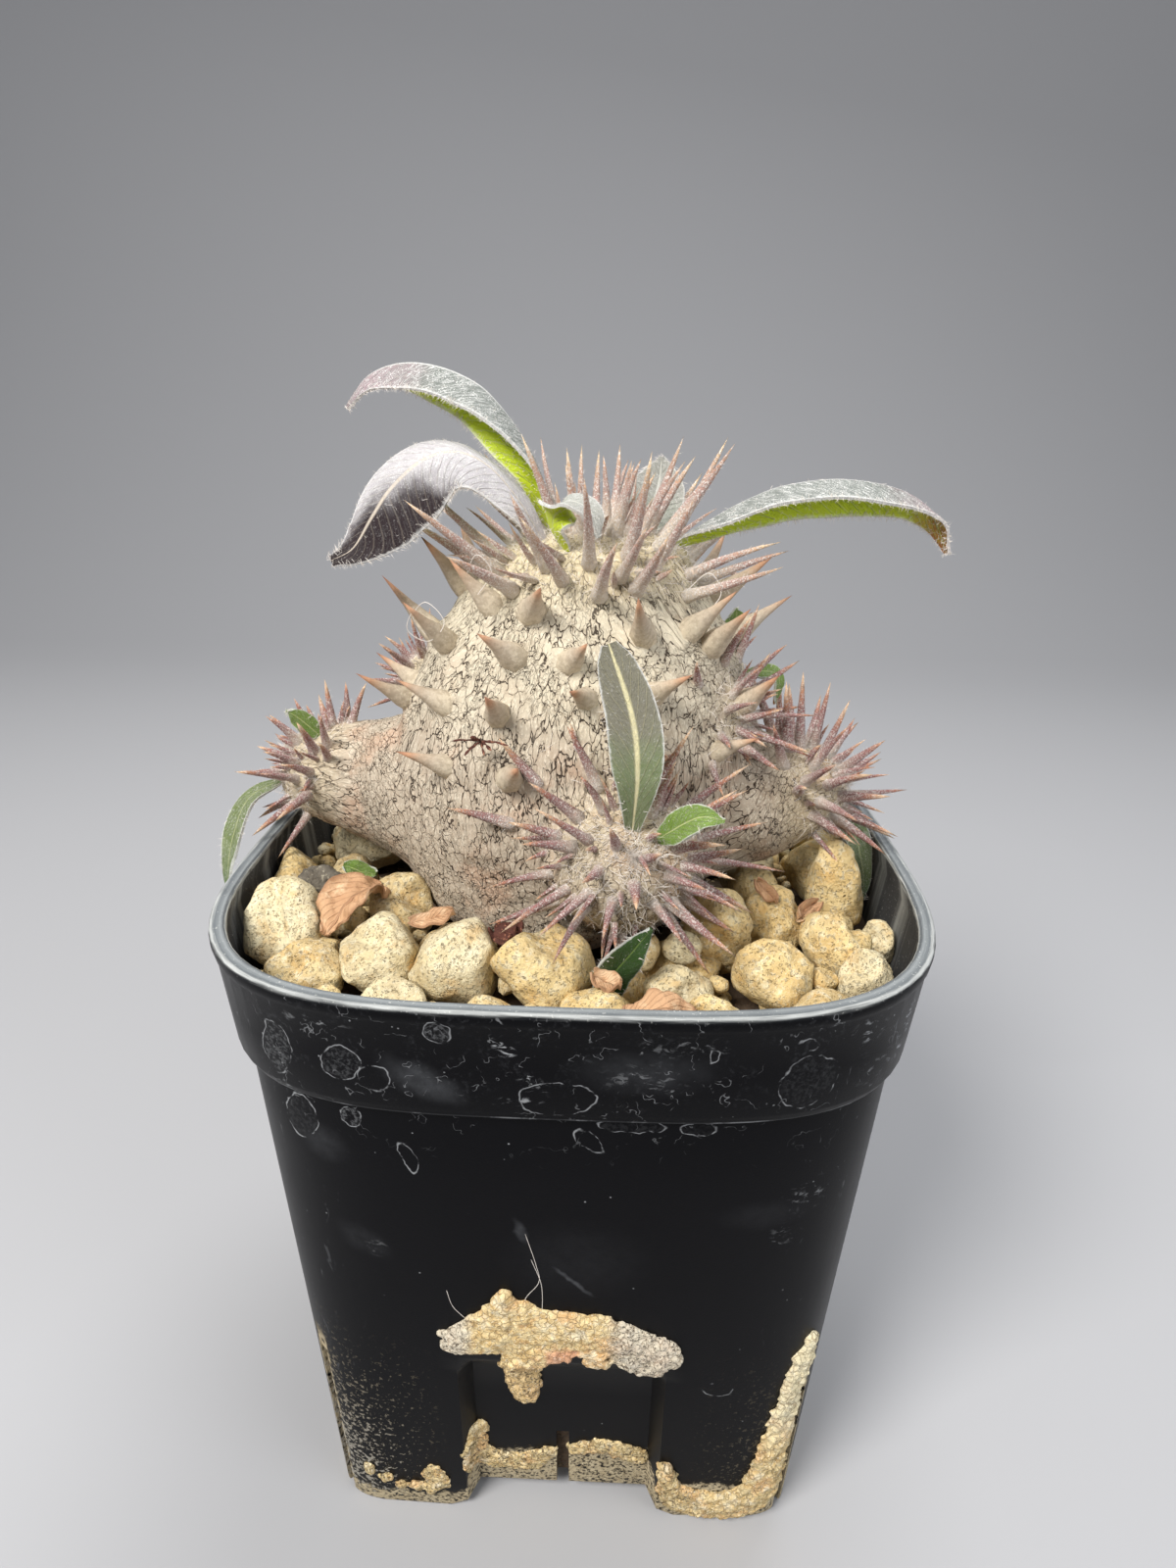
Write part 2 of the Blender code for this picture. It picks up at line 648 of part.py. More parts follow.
# Stones seen from the front: across, back, width, depth, height, turn in degrees
FRONT_STONES = [
    (-37.5, -19, 13, 12, 12, 10), (-31, -28, 9.5, 9, 8.5, 0), (-23.5, -25.5, 11, 11, 11, 35),
    (-13.5, -27, 12, 12, 12, 0), (-3.5, -28, 12, 11, 11, 20), (-23, -12.5, 10, 10, 10, 0),
    (4, -34, 8, 7, 7, 0), (12.6, -29, 8, 8, 8, 0), (17.5, -33, 8.5, 7, 7, 0),
    (18, -18.5, 9, 10, 13, 10), (26.4, -14.5, 8, 10, 11, 0), (24.5, -26.5, 10, 9, 9.5, -20),
    (33.4, -18.4, 9, 9, 10.5, 30), (36.5, -25.5, 9, 8, 8, 0), (30, -33, 8.5, 7, 7, 0),
    (36, -6.5, 7.5, 9, 15, 0), (25.6, -4, 7, 9, 9, 0), (40, -15, 5.5, 6, 7, 0),
    (-40.4, -5.5, 9, 10, 10, 0), (-32.4, -4.5, 8, 9, 9, 0), (-20, -34, 8, 6.5, 7, 0),
    (-8.5, -35.5, 7, 5.5, 6, 0),
]
STONE_COUNT = 38
LOW_LEAVES = ("leaf_right_hanging", "leaf_front_foot")
STONE_POINTS = 24
MERGE = 0.3 * MM
BACK_STONE_SIZES = (10.5 * MM, 13.5 * MM)


def hull(points):
    """The closed convex skin of the points, leaving out points that nearly meet an earlier one."""
    bm = bmesh.new()
    apart = []
    for point in points:
        if all((point - other).length > MERGE for other in apart):
            apart.append(point)
            bm.verts.new(point)
    made = bmesh.ops.convex_hull(bm, input=bm.verts)
    spare = {item for item in made["geom_interior"] + made["geom_unused"] if item in set(bm.verts)}
    bmesh.ops.delete(bm, geom=list(spare), context="VERTS")
    return bm


def keep_side(points, place, outward):
    """The convex shape of the points, cut off beyond a plane."""
    if all((point - place).dot(outward) < 0 for point in points):
        return points
    bm = hull(points)
    geometry = bm.verts[:] + bm.edges[:] + bm.faces[:]
    bmesh.ops.bisect_plane(bm, geom=geometry, plane_co=place, plane_no=outward, clear_outer=True)
    kept = [vertex.co.copy() for vertex in bm.verts]
    bm.free()
    return kept


def stone_points(draw, centre, size, turn):
    """Points spread evenly over a lumpy ellipsoid."""
    rotation = Matrix.Rotation(math.radians(turn), 3, "Z") @ Matrix.Rotation(draw.uniform(-0.3, 0.3), 3, "X")
    points = []
    for place in range(STONE_POINTS):
        high = 1 - 2 * (place + 0.5) / STONE_POINTS
        around = place * GOLDEN_ANGLE
        level = math.sqrt(1 - high * high)
        spot = Vector((math.cos(around) * level, math.sin(around) * level, high))
        spot *= draw.uniform(0.86, 1.1)
        points.append(centre + rotation @ Vector(spot[axis] * size[axis] / 2 for axis in range(3)))
    return points


def wall_planes(height):
    """Planes a gap inside the pot's wall, as a place and the way out."""
    outline = wall_outline(height, WALL + GAP)
    planes = []
    for first, second in zip(outline, outline[1:] + outline[:1]):
        along = second - first
        if along.length > 0.2 * MM:
            planes.append(((first + second) / 2, along.cross(UP).normalized()))
    return planes


def build_stones(obstacles):
    """The top dressing: stones placed as seen in front and by rule behind, cut clear of each other."""
    draw = random.Random(21)
    spots = []
    for across, back, width, depth, height, turn in FRONT_STONES:
        spots.append((across * MM, back * MM, Vector((width, depth, height)) * MM, turn))
    body = obstacles[0]
    tries = 0
    while len(spots) < STONE_COUNT and tries < 4000:
        tries += 1
        across = draw.uniform(-38, 38) * MM
        back = draw.uniform(-4, 38) * MM
        size = draw.uniform(*BACK_STONE_SIZES)
        centre = Vector((across, back, SOIL_TOP + size * 0.42))
        _, _, _, away = body.find_nearest(centre)
        crowded = any(
            math.hypot(across - spot[0], back - spot[1]) < 0.43 * (size + spot[2].x) for spot in spots
        )
        corner = (abs(across) / (38.5 * MM)) ** 3.6 + (abs(back) / (38.5 * MM)) ** 3.6
        if away < 0.42 * size or crowded or corner > 1:
            continue
        shape = Vector((size, size * draw.uniform(0.8, 1), size * draw.uniform(0.75, 0.92)))
        spots.append((across, back, shape, draw.uniform(0, 180)))
    planes = wall_planes(SOIL_TOP)
    floor = SOIL_TOP + SOIL_RELIEF + GAP
    centres = [Vector((spot[0], spot[1], SOIL_TOP + GAP + spot[2].z / 2)) for spot in spots]
    stones = []
    tints = [finish("cream stone %d" % (tone + 1), colour, 0.9) for tone, colour in enumerate(
        ((0.62, 0.5, 0.27), (0.66, 0.58, 0.4), (0.56, 0.47, 0.3)))]
    for place, spot in enumerate(spots):
        centre = centres[place]
        points = stone_points(draw, centre, spot[2], spot[3])
        drop = UP * (min(point.z for point in points) - floor)
        points = [point - drop for point in points]
        for other, rival in enumerate(centres):
            apart = rival - centre
            if other == place or apart.length > 20 * MM:
                continue
            share = spot[2].length / (spot[2].length + spots[other][2].length)
            toward = apart.normalized()
            middle = centre + apart * share - toward * GAP / 2
            points = keep_side(points, middle, toward)
        for spot_on_wall, outward in planes:
            points = keep_side(points, spot_on_wall, outward)
        for tree in obstacles:
            nearest, _, _, distance = tree.find_nearest(centre)
            if distance < 14 * MM:
                toward = (nearest - centre).normalized()
                points = keep_side(points, nearest - toward * GAP * 1.5, toward)
        points = keep_side(points, Vector((0, 0, floor)), -UP)
        bm = hull(points)
        stones.append(add_object("stone_%02d" % (place + 1), bm, tints[place % len(tints)]))
    return stones


# Dry leaves and mineral crust


DRY_LEAVES = [
    ("dry_leaf_left", [(-25.5, -14, 104), (-28.4, -17.8, 104.4), (-31, -22.5, 101.5)],
     6.5, 48, ((-0.8, -0.5, 0.5), (-0.7, -0.3, 0.6))),
    ("dry_leaf_front", [(6.5, -37, 101), (10.5, -37, 102.6), (14.5, -36, 101.4)],
     6, 30, ((0, -0.2, 1), (0, -0.2, 1))),
]


def build_dry_leaves(supports):
    """Fallen leaves, dropped onto the stones."""
    brown = finish("dry leaf", (0.36, 0.17, 0.075), 0.8)
    fallen = []
    for name, path, width, fold, facing in DRY_LEAVES:
        leaf = blade(name, [mm(*station) for station in path], width, fold, facing, brown, 5, 2)
        seat(leaf, -UP, supports)
        fallen.append(leaf)
    return fallen


# Crust lumps on the front wall: across, height, radius
FRONT_CRUST = [
    (-13.4, 40.6, 2.8), (-10.4, 41.8, 3.7), (-7.4, 42.8, 4.4), (-6.9, 47, 2.5), (-3.4, 42.8, 4),
    (0, 42.8, 3.5), (3.4, 43, 3.3), (6.8, 41.8, 3.2), (9.8, 40.4, 3), (12.4, 39, 2.8),
    (14.2, 38.8, 2.1), (-6, 38, 3.2), (-5.4, 34, 2.8), (-4.6, 30.6, 2.4), (0.6, 39.6, 2.6),
    (9.6, 37.4, 2.2),
]
FOOT_CRUST = [
    (15, 11, 1.5), (15.6, 7.4, 2.1), (17.4, 4.6, 3), (20.4, 3.2, 3), (23.4, 2.8, 3), (26.2, 3.4, 3.2),
    (28.4, 6, 3), (29.2, 10.4, 2.8), (29.6, 15, 2.5), (30, 20, 2.3), (30.6, 25, 2.2),
    (31.4, 30, 2.1), (32.2, 34.6, 2), (32.8, 38, 1.5),
]
CRUST_DEPTH = 1.3 * MM
CRUST_VOXEL = 0.55 * MM


def build_crust(name, lumps, between, triangles, pot, material):
    """Mineral crust: flat lumps along the wall, melted together and cut a gap away from the pot.

    between is how many lumps fill the way from each listed lump to the next.
    """
    tree = tree_of(pot)
    bm = bmesh.new()
    row = []
    for first, second in zip(lumps, lumps[1:] + lumps[-1:]):
        for step in range(between + 1):
            row.append(Vector(first).lerp(Vector(second), step / (between + 1)))
    for across, height, radius in row:
        start = mm(across, -60, height)
        spot, normal, _, _ = tree.ray_cast(start, Vector((0, 1, 0)))
        turn = normal.to_track_quat("Z", "Y").to_matrix().to_4x4()
        size = Matrix.Diagonal((radius * MM, radius * MM, CRUST_DEPTH + GAP, 1))
        bmesh.ops.create_icosphere(
            bm, subdivisions=2, radius=1, matrix=Matrix.Translation(spot) @ turn @ size
        )
    crust = add_object(name, bm, material)
    melt = crust.modifiers.new("Melt", "REMESH")
    melt.mode = "VOXEL"
    melt.voxel_size = CRUST_VOXEL
    bake(crust)
    thin = crust.modifiers.new("Thin", "DECIMATE")
    thin.ratio = triangles / (2 * len(crust.data.polygons))
    bake(crust)
    bm = bmesh.new()
    skin(bm, [wall_outline(height, -GAP) for height in (0, *WALL_HEIGHTS)])
    split_alike(bm)
    core = add_object("pot and a gap", bm)
    ground = slot_cutter(4 * RIM_HALF, 4 * RIM_HALF, 0.5 * MM, 0, 0)
    combine(crust, [core, ground], "DIFFERENCE")
    return crust


# Build


def clear_of(obstacles, root, direction, length, width, droop):
    """Whether a spine keeps clear of every obstacle."""
    direction = direction.normalized()
    for step in range(SPINE_TESTS):
        share = step / (SPINE_TESTS - 1)
        point = root + direction * length * share + Vector((0, 0, -droop * length)) * share**2
        room = width / 2 * (1 - 0.8 * share) + 1.3 * GAP
        if any(tree.find_nearest(point, room)[0] is not None for tree in obstacles):
            return False
    return True


def build_foot():
    """The plant's foot, which stands in the soil's hole."""
    bm = bmesh.new()
    outlines = [
        disc(FOOT_CENTRE + UP * height, UP, foot_radius(height), FOOT_SIDES)
        for height in (FOOT_LOW, SOIL_TOP, FOOT_HIGH)
    ]
    skin(bm, outlines)
    return add_object("foot", bm)


def build():
    """Every piece, the pot first and the spines last, so that they keep clear of the rest."""
    for leftover in list(bpy.data.objects):
        bpy.data.objects.remove(leftover, do_unlink=True)
    pot = build_pot()
    soil = build_soil()
    body = build_body()
    leaves = build_leaves(body, soil)
    low_leaves = [leaf for leaf in leaves if leaf.name in LOW_LEAVES]
    stones = build_stones([tree_of(piece) for piece in [body] + low_leaves])
    fallen = build_dry_leaves(stones + leaves + [pot, body])
    mineral = finish("mineral crust", (0.62, 0.5, 0.32), 0.92)
    build_crust("crust_front", FRONT_CRUST, 0, 420, pot, mineral)
    build_crust("crust_right_foot", FOOT_CRUST, 1, 400, pot, mineral)
    obstacles = [tree_of(piece) for piece in leaves + stones + fallen + [pot, soil]]
    plan = [entry for entry in spine_plan(body) if clear_of(obstacles, *entry[:5])]
    combine(body, [spine(*entry) for entry in plan] + [build_foot()], "UNION")


build()
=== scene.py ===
# %% [markdown]
# # A potted pachypodium
#
# The object is a small desert plant with a swollen, spiny trunk in a square black nursery pot,
# topped with cream stones. The imported model already holds every solid at its real size, so this
# lesson only dresses it: each solid either keeps its shape and gets a better surface, or is
# hidden while a finer piece stands in its place.
#
# The frame is loaded first, and its box is kept to be printed beside the finished model's.

import json
import math
import random

import bmesh
import bpy
from mathutils import Matrix, Vector, noise
from mathutils.bvhtree import BVHTree
from mathutils.kdtree import KDTree

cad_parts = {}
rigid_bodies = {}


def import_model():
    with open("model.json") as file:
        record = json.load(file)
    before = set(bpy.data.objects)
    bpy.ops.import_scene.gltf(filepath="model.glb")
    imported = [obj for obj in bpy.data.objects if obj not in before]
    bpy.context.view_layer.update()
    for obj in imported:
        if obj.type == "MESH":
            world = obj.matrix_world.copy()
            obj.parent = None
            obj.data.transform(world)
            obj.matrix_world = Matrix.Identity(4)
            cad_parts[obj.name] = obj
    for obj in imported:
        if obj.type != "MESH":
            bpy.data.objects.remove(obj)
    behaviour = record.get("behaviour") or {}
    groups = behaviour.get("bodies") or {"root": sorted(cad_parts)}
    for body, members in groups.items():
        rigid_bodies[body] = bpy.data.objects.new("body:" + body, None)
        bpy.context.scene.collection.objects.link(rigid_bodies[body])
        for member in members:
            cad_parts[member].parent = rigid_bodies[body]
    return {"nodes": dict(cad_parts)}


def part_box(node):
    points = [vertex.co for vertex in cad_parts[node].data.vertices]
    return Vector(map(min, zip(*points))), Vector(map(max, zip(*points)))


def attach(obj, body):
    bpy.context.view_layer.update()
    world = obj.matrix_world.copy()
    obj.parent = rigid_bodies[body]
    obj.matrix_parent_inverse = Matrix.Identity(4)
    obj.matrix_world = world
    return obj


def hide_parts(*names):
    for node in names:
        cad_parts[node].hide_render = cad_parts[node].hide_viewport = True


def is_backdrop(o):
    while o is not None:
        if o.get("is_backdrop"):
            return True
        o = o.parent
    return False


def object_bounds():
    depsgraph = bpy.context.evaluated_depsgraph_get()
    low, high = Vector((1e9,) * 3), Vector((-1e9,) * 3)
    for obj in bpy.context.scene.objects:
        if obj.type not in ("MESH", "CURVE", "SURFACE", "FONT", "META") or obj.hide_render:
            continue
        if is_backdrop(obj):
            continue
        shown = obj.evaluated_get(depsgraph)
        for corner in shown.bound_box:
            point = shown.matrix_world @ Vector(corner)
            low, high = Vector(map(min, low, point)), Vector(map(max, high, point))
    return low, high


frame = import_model()
nodes = frame["nodes"]
cad_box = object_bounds()
print(len(nodes), "solids in the frame")

# %% [markdown]
# ## Measures and small helpers
#
# The real plant was measured in millimetres, so points are written in millimetres and turned
# into metres by one function. Mixing two values and easing a share from 0 to 1 come up in
# every shape below, so they get short names too.

# %% Millimetres, mixing and easing
MM = 0.001
GAP = 0.3 * MM
UP = Vector((0, 0, 1))
GOLDEN_ANGLE = math.pi * (3 - math.sqrt(5))


def mm(*values):
    """A point given in millimetres."""
    return Vector(values) * MM


def between(first, second, share):
    return first + (second - first) * share


def ease(share):
    share = min(max(share, 0), 1)
    return share * share * (3 - 2 * share)


def heading(bearing):
    """The level direction at an angle from across."""
    return Vector((math.cos(bearing), math.sin(bearing), 0))


def put(name, data):
    """An object that holds the data, in the scene."""
    made = bpy.data.objects.new(name, data)
    bpy.context.scene.collection.objects.link(made)
    return made


def paint(red, green, blue):
    """A colour picked on a 0 to 255 screen scale, made linear for the shader."""
    return tuple((level / 255 / 12.92) if level <= 10 else ((level / 255 + 0.055) / 1.055) ** 2.4
                 for level in (red, green, blue))


print("a pale bark tone is", [round(level, 3) for level in paint(205, 188, 162)])

# %% [markdown]
# ## Camera
#
# The photograph was taken from a little above the rim with a wide lens held close, which makes
# the pot narrow strongly towards its base. The camera could be placed by eye, but the pot's
# corners are known points, so a fit of them gave the distance, the tilt and the lens at once.

# %% Place the camera at the photograph's viewing angle
LENS_MM = 21.07
CAMERA_DISTANCE = 130.98 * MM
CAMERA_TILT = math.radians(20.92)
CAMERA_TURN = math.radians(1.71)
CAMERA_ROLL = math.radians(0.90)
AIM = (1.18 * MM, 102.09 * MM)  # across and up


def place_camera():
    back = Vector((math.sin(CAMERA_TURN) * math.cos(CAMERA_TILT),
                   -math.cos(CAMERA_TURN) * math.cos(CAMERA_TILT), math.sin(CAMERA_TILT)))
    level = heading(CAMERA_TURN)
    rise = back.cross(level)
    right = level * math.cos(CAMERA_ROLL) + rise * math.sin(CAMERA_ROLL)
    top = rise * math.cos(CAMERA_ROLL) - level * math.sin(CAMERA_ROLL)
    spot = level * AIM[0] + UP * AIM[1] + back * CAMERA_DISTANCE
    data = bpy.data.cameras.new("photo camera")
    data.sensor_fit = "VERTICAL"
    data.sensor_height = 36
    data.lens = LENS_MM
    data.clip_start = 0.005
    camera = put("photo camera", data)
    camera.matrix_world = Matrix.Translation(spot) @ Matrix((right, top, back)).transposed().to_4x4()
    bpy.context.scene.camera = camera
    return camera


camera = place_camera()
print("camera stands at", [round(value, 4) for value in camera.matrix_world.translation])

# %% [markdown]
# ## Floor and light
#
# A plain pale floor and large soft lights show shape and surface without hard shadows. The
# photograph has soft daylight from the upper left, so the largest light stands there, and a
# weaker one on the right keeps the black pot's side readable.

# %% Set the floor and the studio lights
FLAT_UNTIL = 0.5  # metres behind the pot, where the floor starts to curve up
CURVE_RADIUS = 0.45
CURVE_SWEEP = 1.35  # radians


def add_light(name, place, size, power, colour):
    data = bpy.data.lights.new(name, "AREA")
    data.shape = "DISK"
    data.size = size
    data.energy = power
    data.color = colour
    light = put(name, data)
    aim = mm(0, 0, 90) - Vector(place)
    light.matrix_world = Matrix.Translation(place) @ aim.to_track_quat("-Z", "Y").to_matrix().to_4x4()
    return light


def set_studio():
    bm = bmesh.new()
    bmesh.ops.create_grid(bm, x_segments=2, y_segments=60, size=1.6)
    for vertex in bm.verts:
        beyond = max(vertex.co.y - FLAT_UNTIL, 0)
        angle = min(beyond / CURVE_RADIUS, CURVE_SWEEP)
        if beyond:
            rest = max(beyond - CURVE_RADIUS * CURVE_SWEEP, 0)
            vertex.co.y = FLAT_UNTIL + CURVE_RADIUS * math.sin(angle) + rest * math.cos(angle)
            vertex.co.z = CURVE_RADIUS * (1 - math.cos(angle)) + rest * math.sin(angle)
    for face in bm.faces:
        face.smooth = True
    mesh = bpy.data.meshes.new("floor")
    bm.to_mesh(mesh)
    bm.free()
    floor = put("floor", mesh)
    pale = bpy.data.materials.new("pale floor")
    pale.use_nodes = True
    surface = pale.node_tree.nodes["Principled BSDF"]
    surface.inputs["Base Color"].default_value = (0.4, 0.4, 0.41, 1)
    surface.inputs["Roughness"].default_value = 0.9
    mesh.materials.append(pale)
    floor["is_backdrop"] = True
    world = bpy.data.worlds.new("soft sky")
    world.use_nodes = True
    sky = world.node_tree.nodes["Background"]
    sky.inputs["Color"].default_value = (0.86, 0.89, 0.95, 1)
    sky.inputs["Strength"].default_value = 0.36
    bpy.context.scene.world = world
    bpy.context.scene.view_settings.view_transform = "Standard"
    add_light("key", (-0.32, -0.42, 0.62), 0.3, 7.5, (1, 0.98, 0.95))
    add_light("fill", (0.5, -0.3, 0.32), 0.4, 1.5, (0.93, 0.96, 1))
    add_light("top", (0.1, 0.25, 0.75), 0.4, 3.0, (1, 1, 1))
    return floor


floor = set_studio()
print("studio ready, floor at height", floor.location.z)

# %% [markdown]
# ## Writing shaders as arithmetic
#
# A material graph could be wired by hand, node by node, but a pattern such as "cracks, but only
# where the bark is old" is easier to read as a sum. A small class wraps a socket so that
# Python's operators add the Math nodes, and a recipe object adds any other node.

# %% Wrap a socket so that it takes part in sums
def feed(socket, value):
    """Links a signal to the socket, or sets the socket's own value; colours are on a 0 to 255 scale."""
    if isinstance(value, Signal):
        socket.id_data.links.new(value.socket, socket)
    elif isinstance(value, tuple) and len(value) == 3 and socket.type == "RGBA":
        socket.default_value = (*paint(*value), 1)
    else:
        socket.default_value = value


class Signal:
    """A number that varies over a surface."""

    def __init__(self, socket):
        self.socket = socket

    def maths(self, operation, *values):
        node = self.socket.id_data.nodes.new("ShaderNodeMath")
        node.operation = operation
        for place, value in enumerate(values):
            feed(node.inputs[place], value)
        return Signal(node.outputs[0])

    def __add__(self, other):
        return self.maths("ADD", self, other)

    def __radd__(self, other):
        return self.maths("ADD", other, self)

    def __sub__(self, other):
        return self.maths("SUBTRACT", self, other)

    def __rsub__(self, other):
        return self.maths("SUBTRACT", other, self)

    def __mul__(self, other):
        return self.maths("MULTIPLY", self, other)

    def __rmul__(self, other):
        return self.maths("MULTIPLY", other, self)

    def __truediv__(self, other):
        return self.maths("DIVIDE", self, other)

    def __abs__(self):
        return self.maths("ABSOLUTE", self)

    def most(self, other):
        return self.maths("MAXIMUM", self, other)

    def least(self, other):
        return self.maths("MINIMUM", self, other)


print("a signal knows", [name for name in dir(Signal) if not name.startswith("_")])

# %% A recipe that adds nodes to one material
class Recipe:
    """A material, with one method that adds any node and short names for the common ones."""

    def __init__(self, name, **constants):
        self.material = bpy.data.materials.new(name)
        self.material.use_nodes = True
        self.tree = self.material.node_tree
        self.surface = self.tree.nodes["Principled BSDF"]
        self.finish(**constants)

    def node(self, kind, settings, values, output=0):
        """Adds a node: its settings first, then the values or links of its sockets."""
        made = self.tree.nodes.new("ShaderNode" + kind)
        for name, value in settings.items():
            if name == "stops":
                while len(made.color_ramp.elements) < len(value):
                    made.color_ramp.elements.new(1)
                for element, (place, colour) in zip(made.color_ramp.elements, value):
                    element.position = place
                    element.color = (*paint(*colour), 1)
            else:
                setattr(made, name, value)
        for name, value in values.items():
            feed(made.inputs[name], value)
        return Signal(made.outputs[output])

    def place(self):
        """The point on the object, in metres."""
        return self.node("TexCoord", {}, {}, "Object")

    def axis(self, name):
        """One coordinate of the point, in millimetres."""
        return self.node("SeparateXYZ", {}, {"Vector": self.place()}, name) * 1000

    def mark(self, name, output="Fac"):
        """A value that was painted on the mesh when it was made."""
        return self.node("Attribute", {"attribute_name": name}, {}, output)

    def noise(self, size, detail=3.0, at=None, output="Fac"):
        """Soft noise whose blobs are about this many millimetres across."""
        values = {"Vector": at or self.place(), "Scale": 1000 / size, "Detail": detail, "Roughness": 0.6}
        return self.node("TexNoise", {}, values, output)

    def bend(self, size, amount, at=None):
        """The place, pushed about by noise: both in millimetres."""
        at = at or self.place()
        push = self.noise(size, 2, at, "Color")
        return self.node("VectorMath", {"operation": "MULTIPLY_ADD"},
                         {0: push, 1: (amount * MM,) * 3, 2: at})

    def cells(self, size, feature="F1", at=None, output="Distance"):
        """A cell pattern whose cells are about this many millimetres across."""
        return self.node("TexVoronoi", {"feature": feature},
                         {"Vector": at or self.place(), "Scale": 1000 / size}, output)

    def step(self, value, low, high):
        """0 below low, 1 above high, smooth between."""
        return self.node("MapRange", {"interpolation_type": "SMOOTHSTEP"},
                         {"Value": value, "From Min": low, "From Max": high})

    def fade(self, value, low, high):
        """1 below low, 0 above high, smooth between."""
        return 1 - self.step(value, low, high)

    def patches(self, size, detail, low, high):
        """1 inside soft patches of noise, 0 between them."""
        return self.step(self.noise(size, detail), low, high)

    def mix(self, share, first, second):
        """A colour between two colours."""
        return self.node("Mix", {"data_type": "RGBA"}, {0: share, 6: first, 7: second}, 2)

    def patched(self, tone, size, detail, low, high, share, colour):
        """The tone with soft patches of another colour, about this many millimetres across."""
        return self.mix(self.patches(size, detail, low, high) * share, tone, colour)

    def ramp(self, value, *stops):
        return self.node("ValToRGB", {"stops": stops}, {"Fac": value}, "Color")

    def bump(self, height, depth, under=None):
        """A relief: height 1 stands the depth, in millimetres, above height 0."""
        values = {"Height": height, "Distance": depth * MM, "Strength": 1.0}
        if under:
            values["Normal"] = under
        return self.node("Bump", {}, values, "Normal")

    def finish(self, **values):
        """Sets or links the surface's own sockets; an underscore stands for a space."""
        for name, value in values.items():
            feed(self.surface.inputs[name.replace("_", " ")], value)
        return self.material


print("a recipe knows", [name for name in dir(Recipe) if not name.startswith("_")])

# %% [markdown]
# ## Making and placing pieces
#
# Every finer piece goes through the same last steps: turn its faces outwards, shade it smooth
# but keep sharp folds, give it its materials, and let it ride with the frame. Rings joined by
# bridges make the pot and the trunk, so a helper lofts through a row of outlines.

# %% Finish a piece and apply modifiers
def add_piece(name, bm, materials, slot, stands_for=(), angle=50, turn_out=True):
    """An object from the bmesh that rides with the frame, in place of the solids it stands for."""
    if turn_out:
        bmesh.ops.recalc_face_normals(bm, faces=bm.faces)
    mesh = bpy.data.meshes.new(name)
    bm.to_mesh(mesh)
    bm.free()
    for polygon in mesh.polygons:
        polygon.use_smooth = True
    mesh.set_sharp_from_angle(angle=math.radians(angle))
    for material in materials:
        mesh.materials.append(material)
    piece = put(name, mesh)
    if slot:
        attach(piece, "root")
    if stands_for:
        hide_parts(*stands_for)
    return piece


def applied(bm, *steps, materials=()):
    """The bmesh after modifiers, each given as its kind and its settings."""
    piece = add_piece("work", bm, materials, None, turn_out=False)
    for kind, settings in steps:
        modifier = piece.modifiers.new(kind, kind)
        for name, value in settings.items():
            setattr(modifier, name, value)
    graph = bpy.context.evaluated_depsgraph_get()
    mesh = bpy.data.meshes.new_from_object(piece.evaluated_get(graph))
    bpy.data.objects.remove(piece)
    shaped = bmesh.new()
    shaped.from_mesh(mesh)
    bpy.data.meshes.remove(mesh)
    return shaped


def melted(bm, voxel, smoothing):
    """The bmesh melted into one smooth skin; a smaller voxel makes it finer."""
    return applied(bm, ("REMESH", {"mode": "VOXEL", "voxel_size": voxel}),
                   ("SMOOTH", {"iterations": smoothing}))


print("pieces are finished by", add_piece.__name__)

# %% Loft outlines, and small helpers
def loft(bm, outlines):
    """Rings through the outlines, bridged one to the next and capped; returns the rings' vertices."""
    rings = []
    for outline in outlines:
        corners = bmesh.ops.create_circle(bm, segments=len(outline), radius=MM)["verts"]
        for corner, point in zip(corners, outline):
            corner.co = point
        rings.append(corners)
    hoops = []
    for corners in rings:
        hoops.append(list({edge for corner in corners for edge in corner.link_edges}))
    for low, high in zip(hoops, hoops[1:]):
        bmesh.ops.bridge_loops(bm, edges=low + high)
    for hoop in (hoops[0], hoops[-1]):
        bmesh.ops.contextual_create(bm, geom=hoop)
    return rings


def disc(centre, axis, radius, sides, depth_radius=None):
    """The points of a circle or an ellipse round an axis."""
    turn = axis.to_track_quat("Z", "Y").to_matrix()
    depth_radius = depth_radius or radius
    points = []
    for side in range(sides):
        angle = 2 * math.pi * side / sides
        spoke = Vector((math.cos(angle) * radius, math.sin(angle) * depth_radius, 0))
        points.append(centre + turn @ spoke)
    return points


def push(draw, most):
    """A random push of up to this much along each axis."""
    return Vector([draw.uniform(-most, most) for _ in range(3)])


def marked_bmesh(*names):
    """An empty bmesh whose vertices carry these marks."""
    bm = bmesh.new()
    for name in names:
        bm.verts.layers.float.new(name)
    return bm


def middle_of(verts):
    return sum((vertex.co for vertex in verts), Vector()) / len(verts)


def tree_of(piece):
    bm = bmesh.new()
    bm.from_mesh(piece.data)
    tree = BVHTree.FromBMesh(bm)
    bm.free()
    return tree


print("helpers ready:", ", ".join(task.__name__ for task in (loft, disc, push, middle_of, tree_of)))

# %% Roughen a surface with noise
def lumps(point, octaves):
    """Noise of a few sizes, each half the one before."""
    return noise.fractal(point, 1, 2, octaves)


def roughen(bm, size, depth, seed=0.0, lean=0.0, octaves=3):
    """Moves each vertex along its normal by noise: the size and the depth are in millimetres."""
    bm.normal_update()
    offset = Vector((seed * 7.31, seed * 3.17, seed * 5.71))
    moves = [(vertex, vertex.normal * (lumps(vertex.co / (size * MM) + offset, octaves) + lean))
             for vertex in bm.verts]
    for vertex, move in moves:
        vertex.co += move * depth * MM


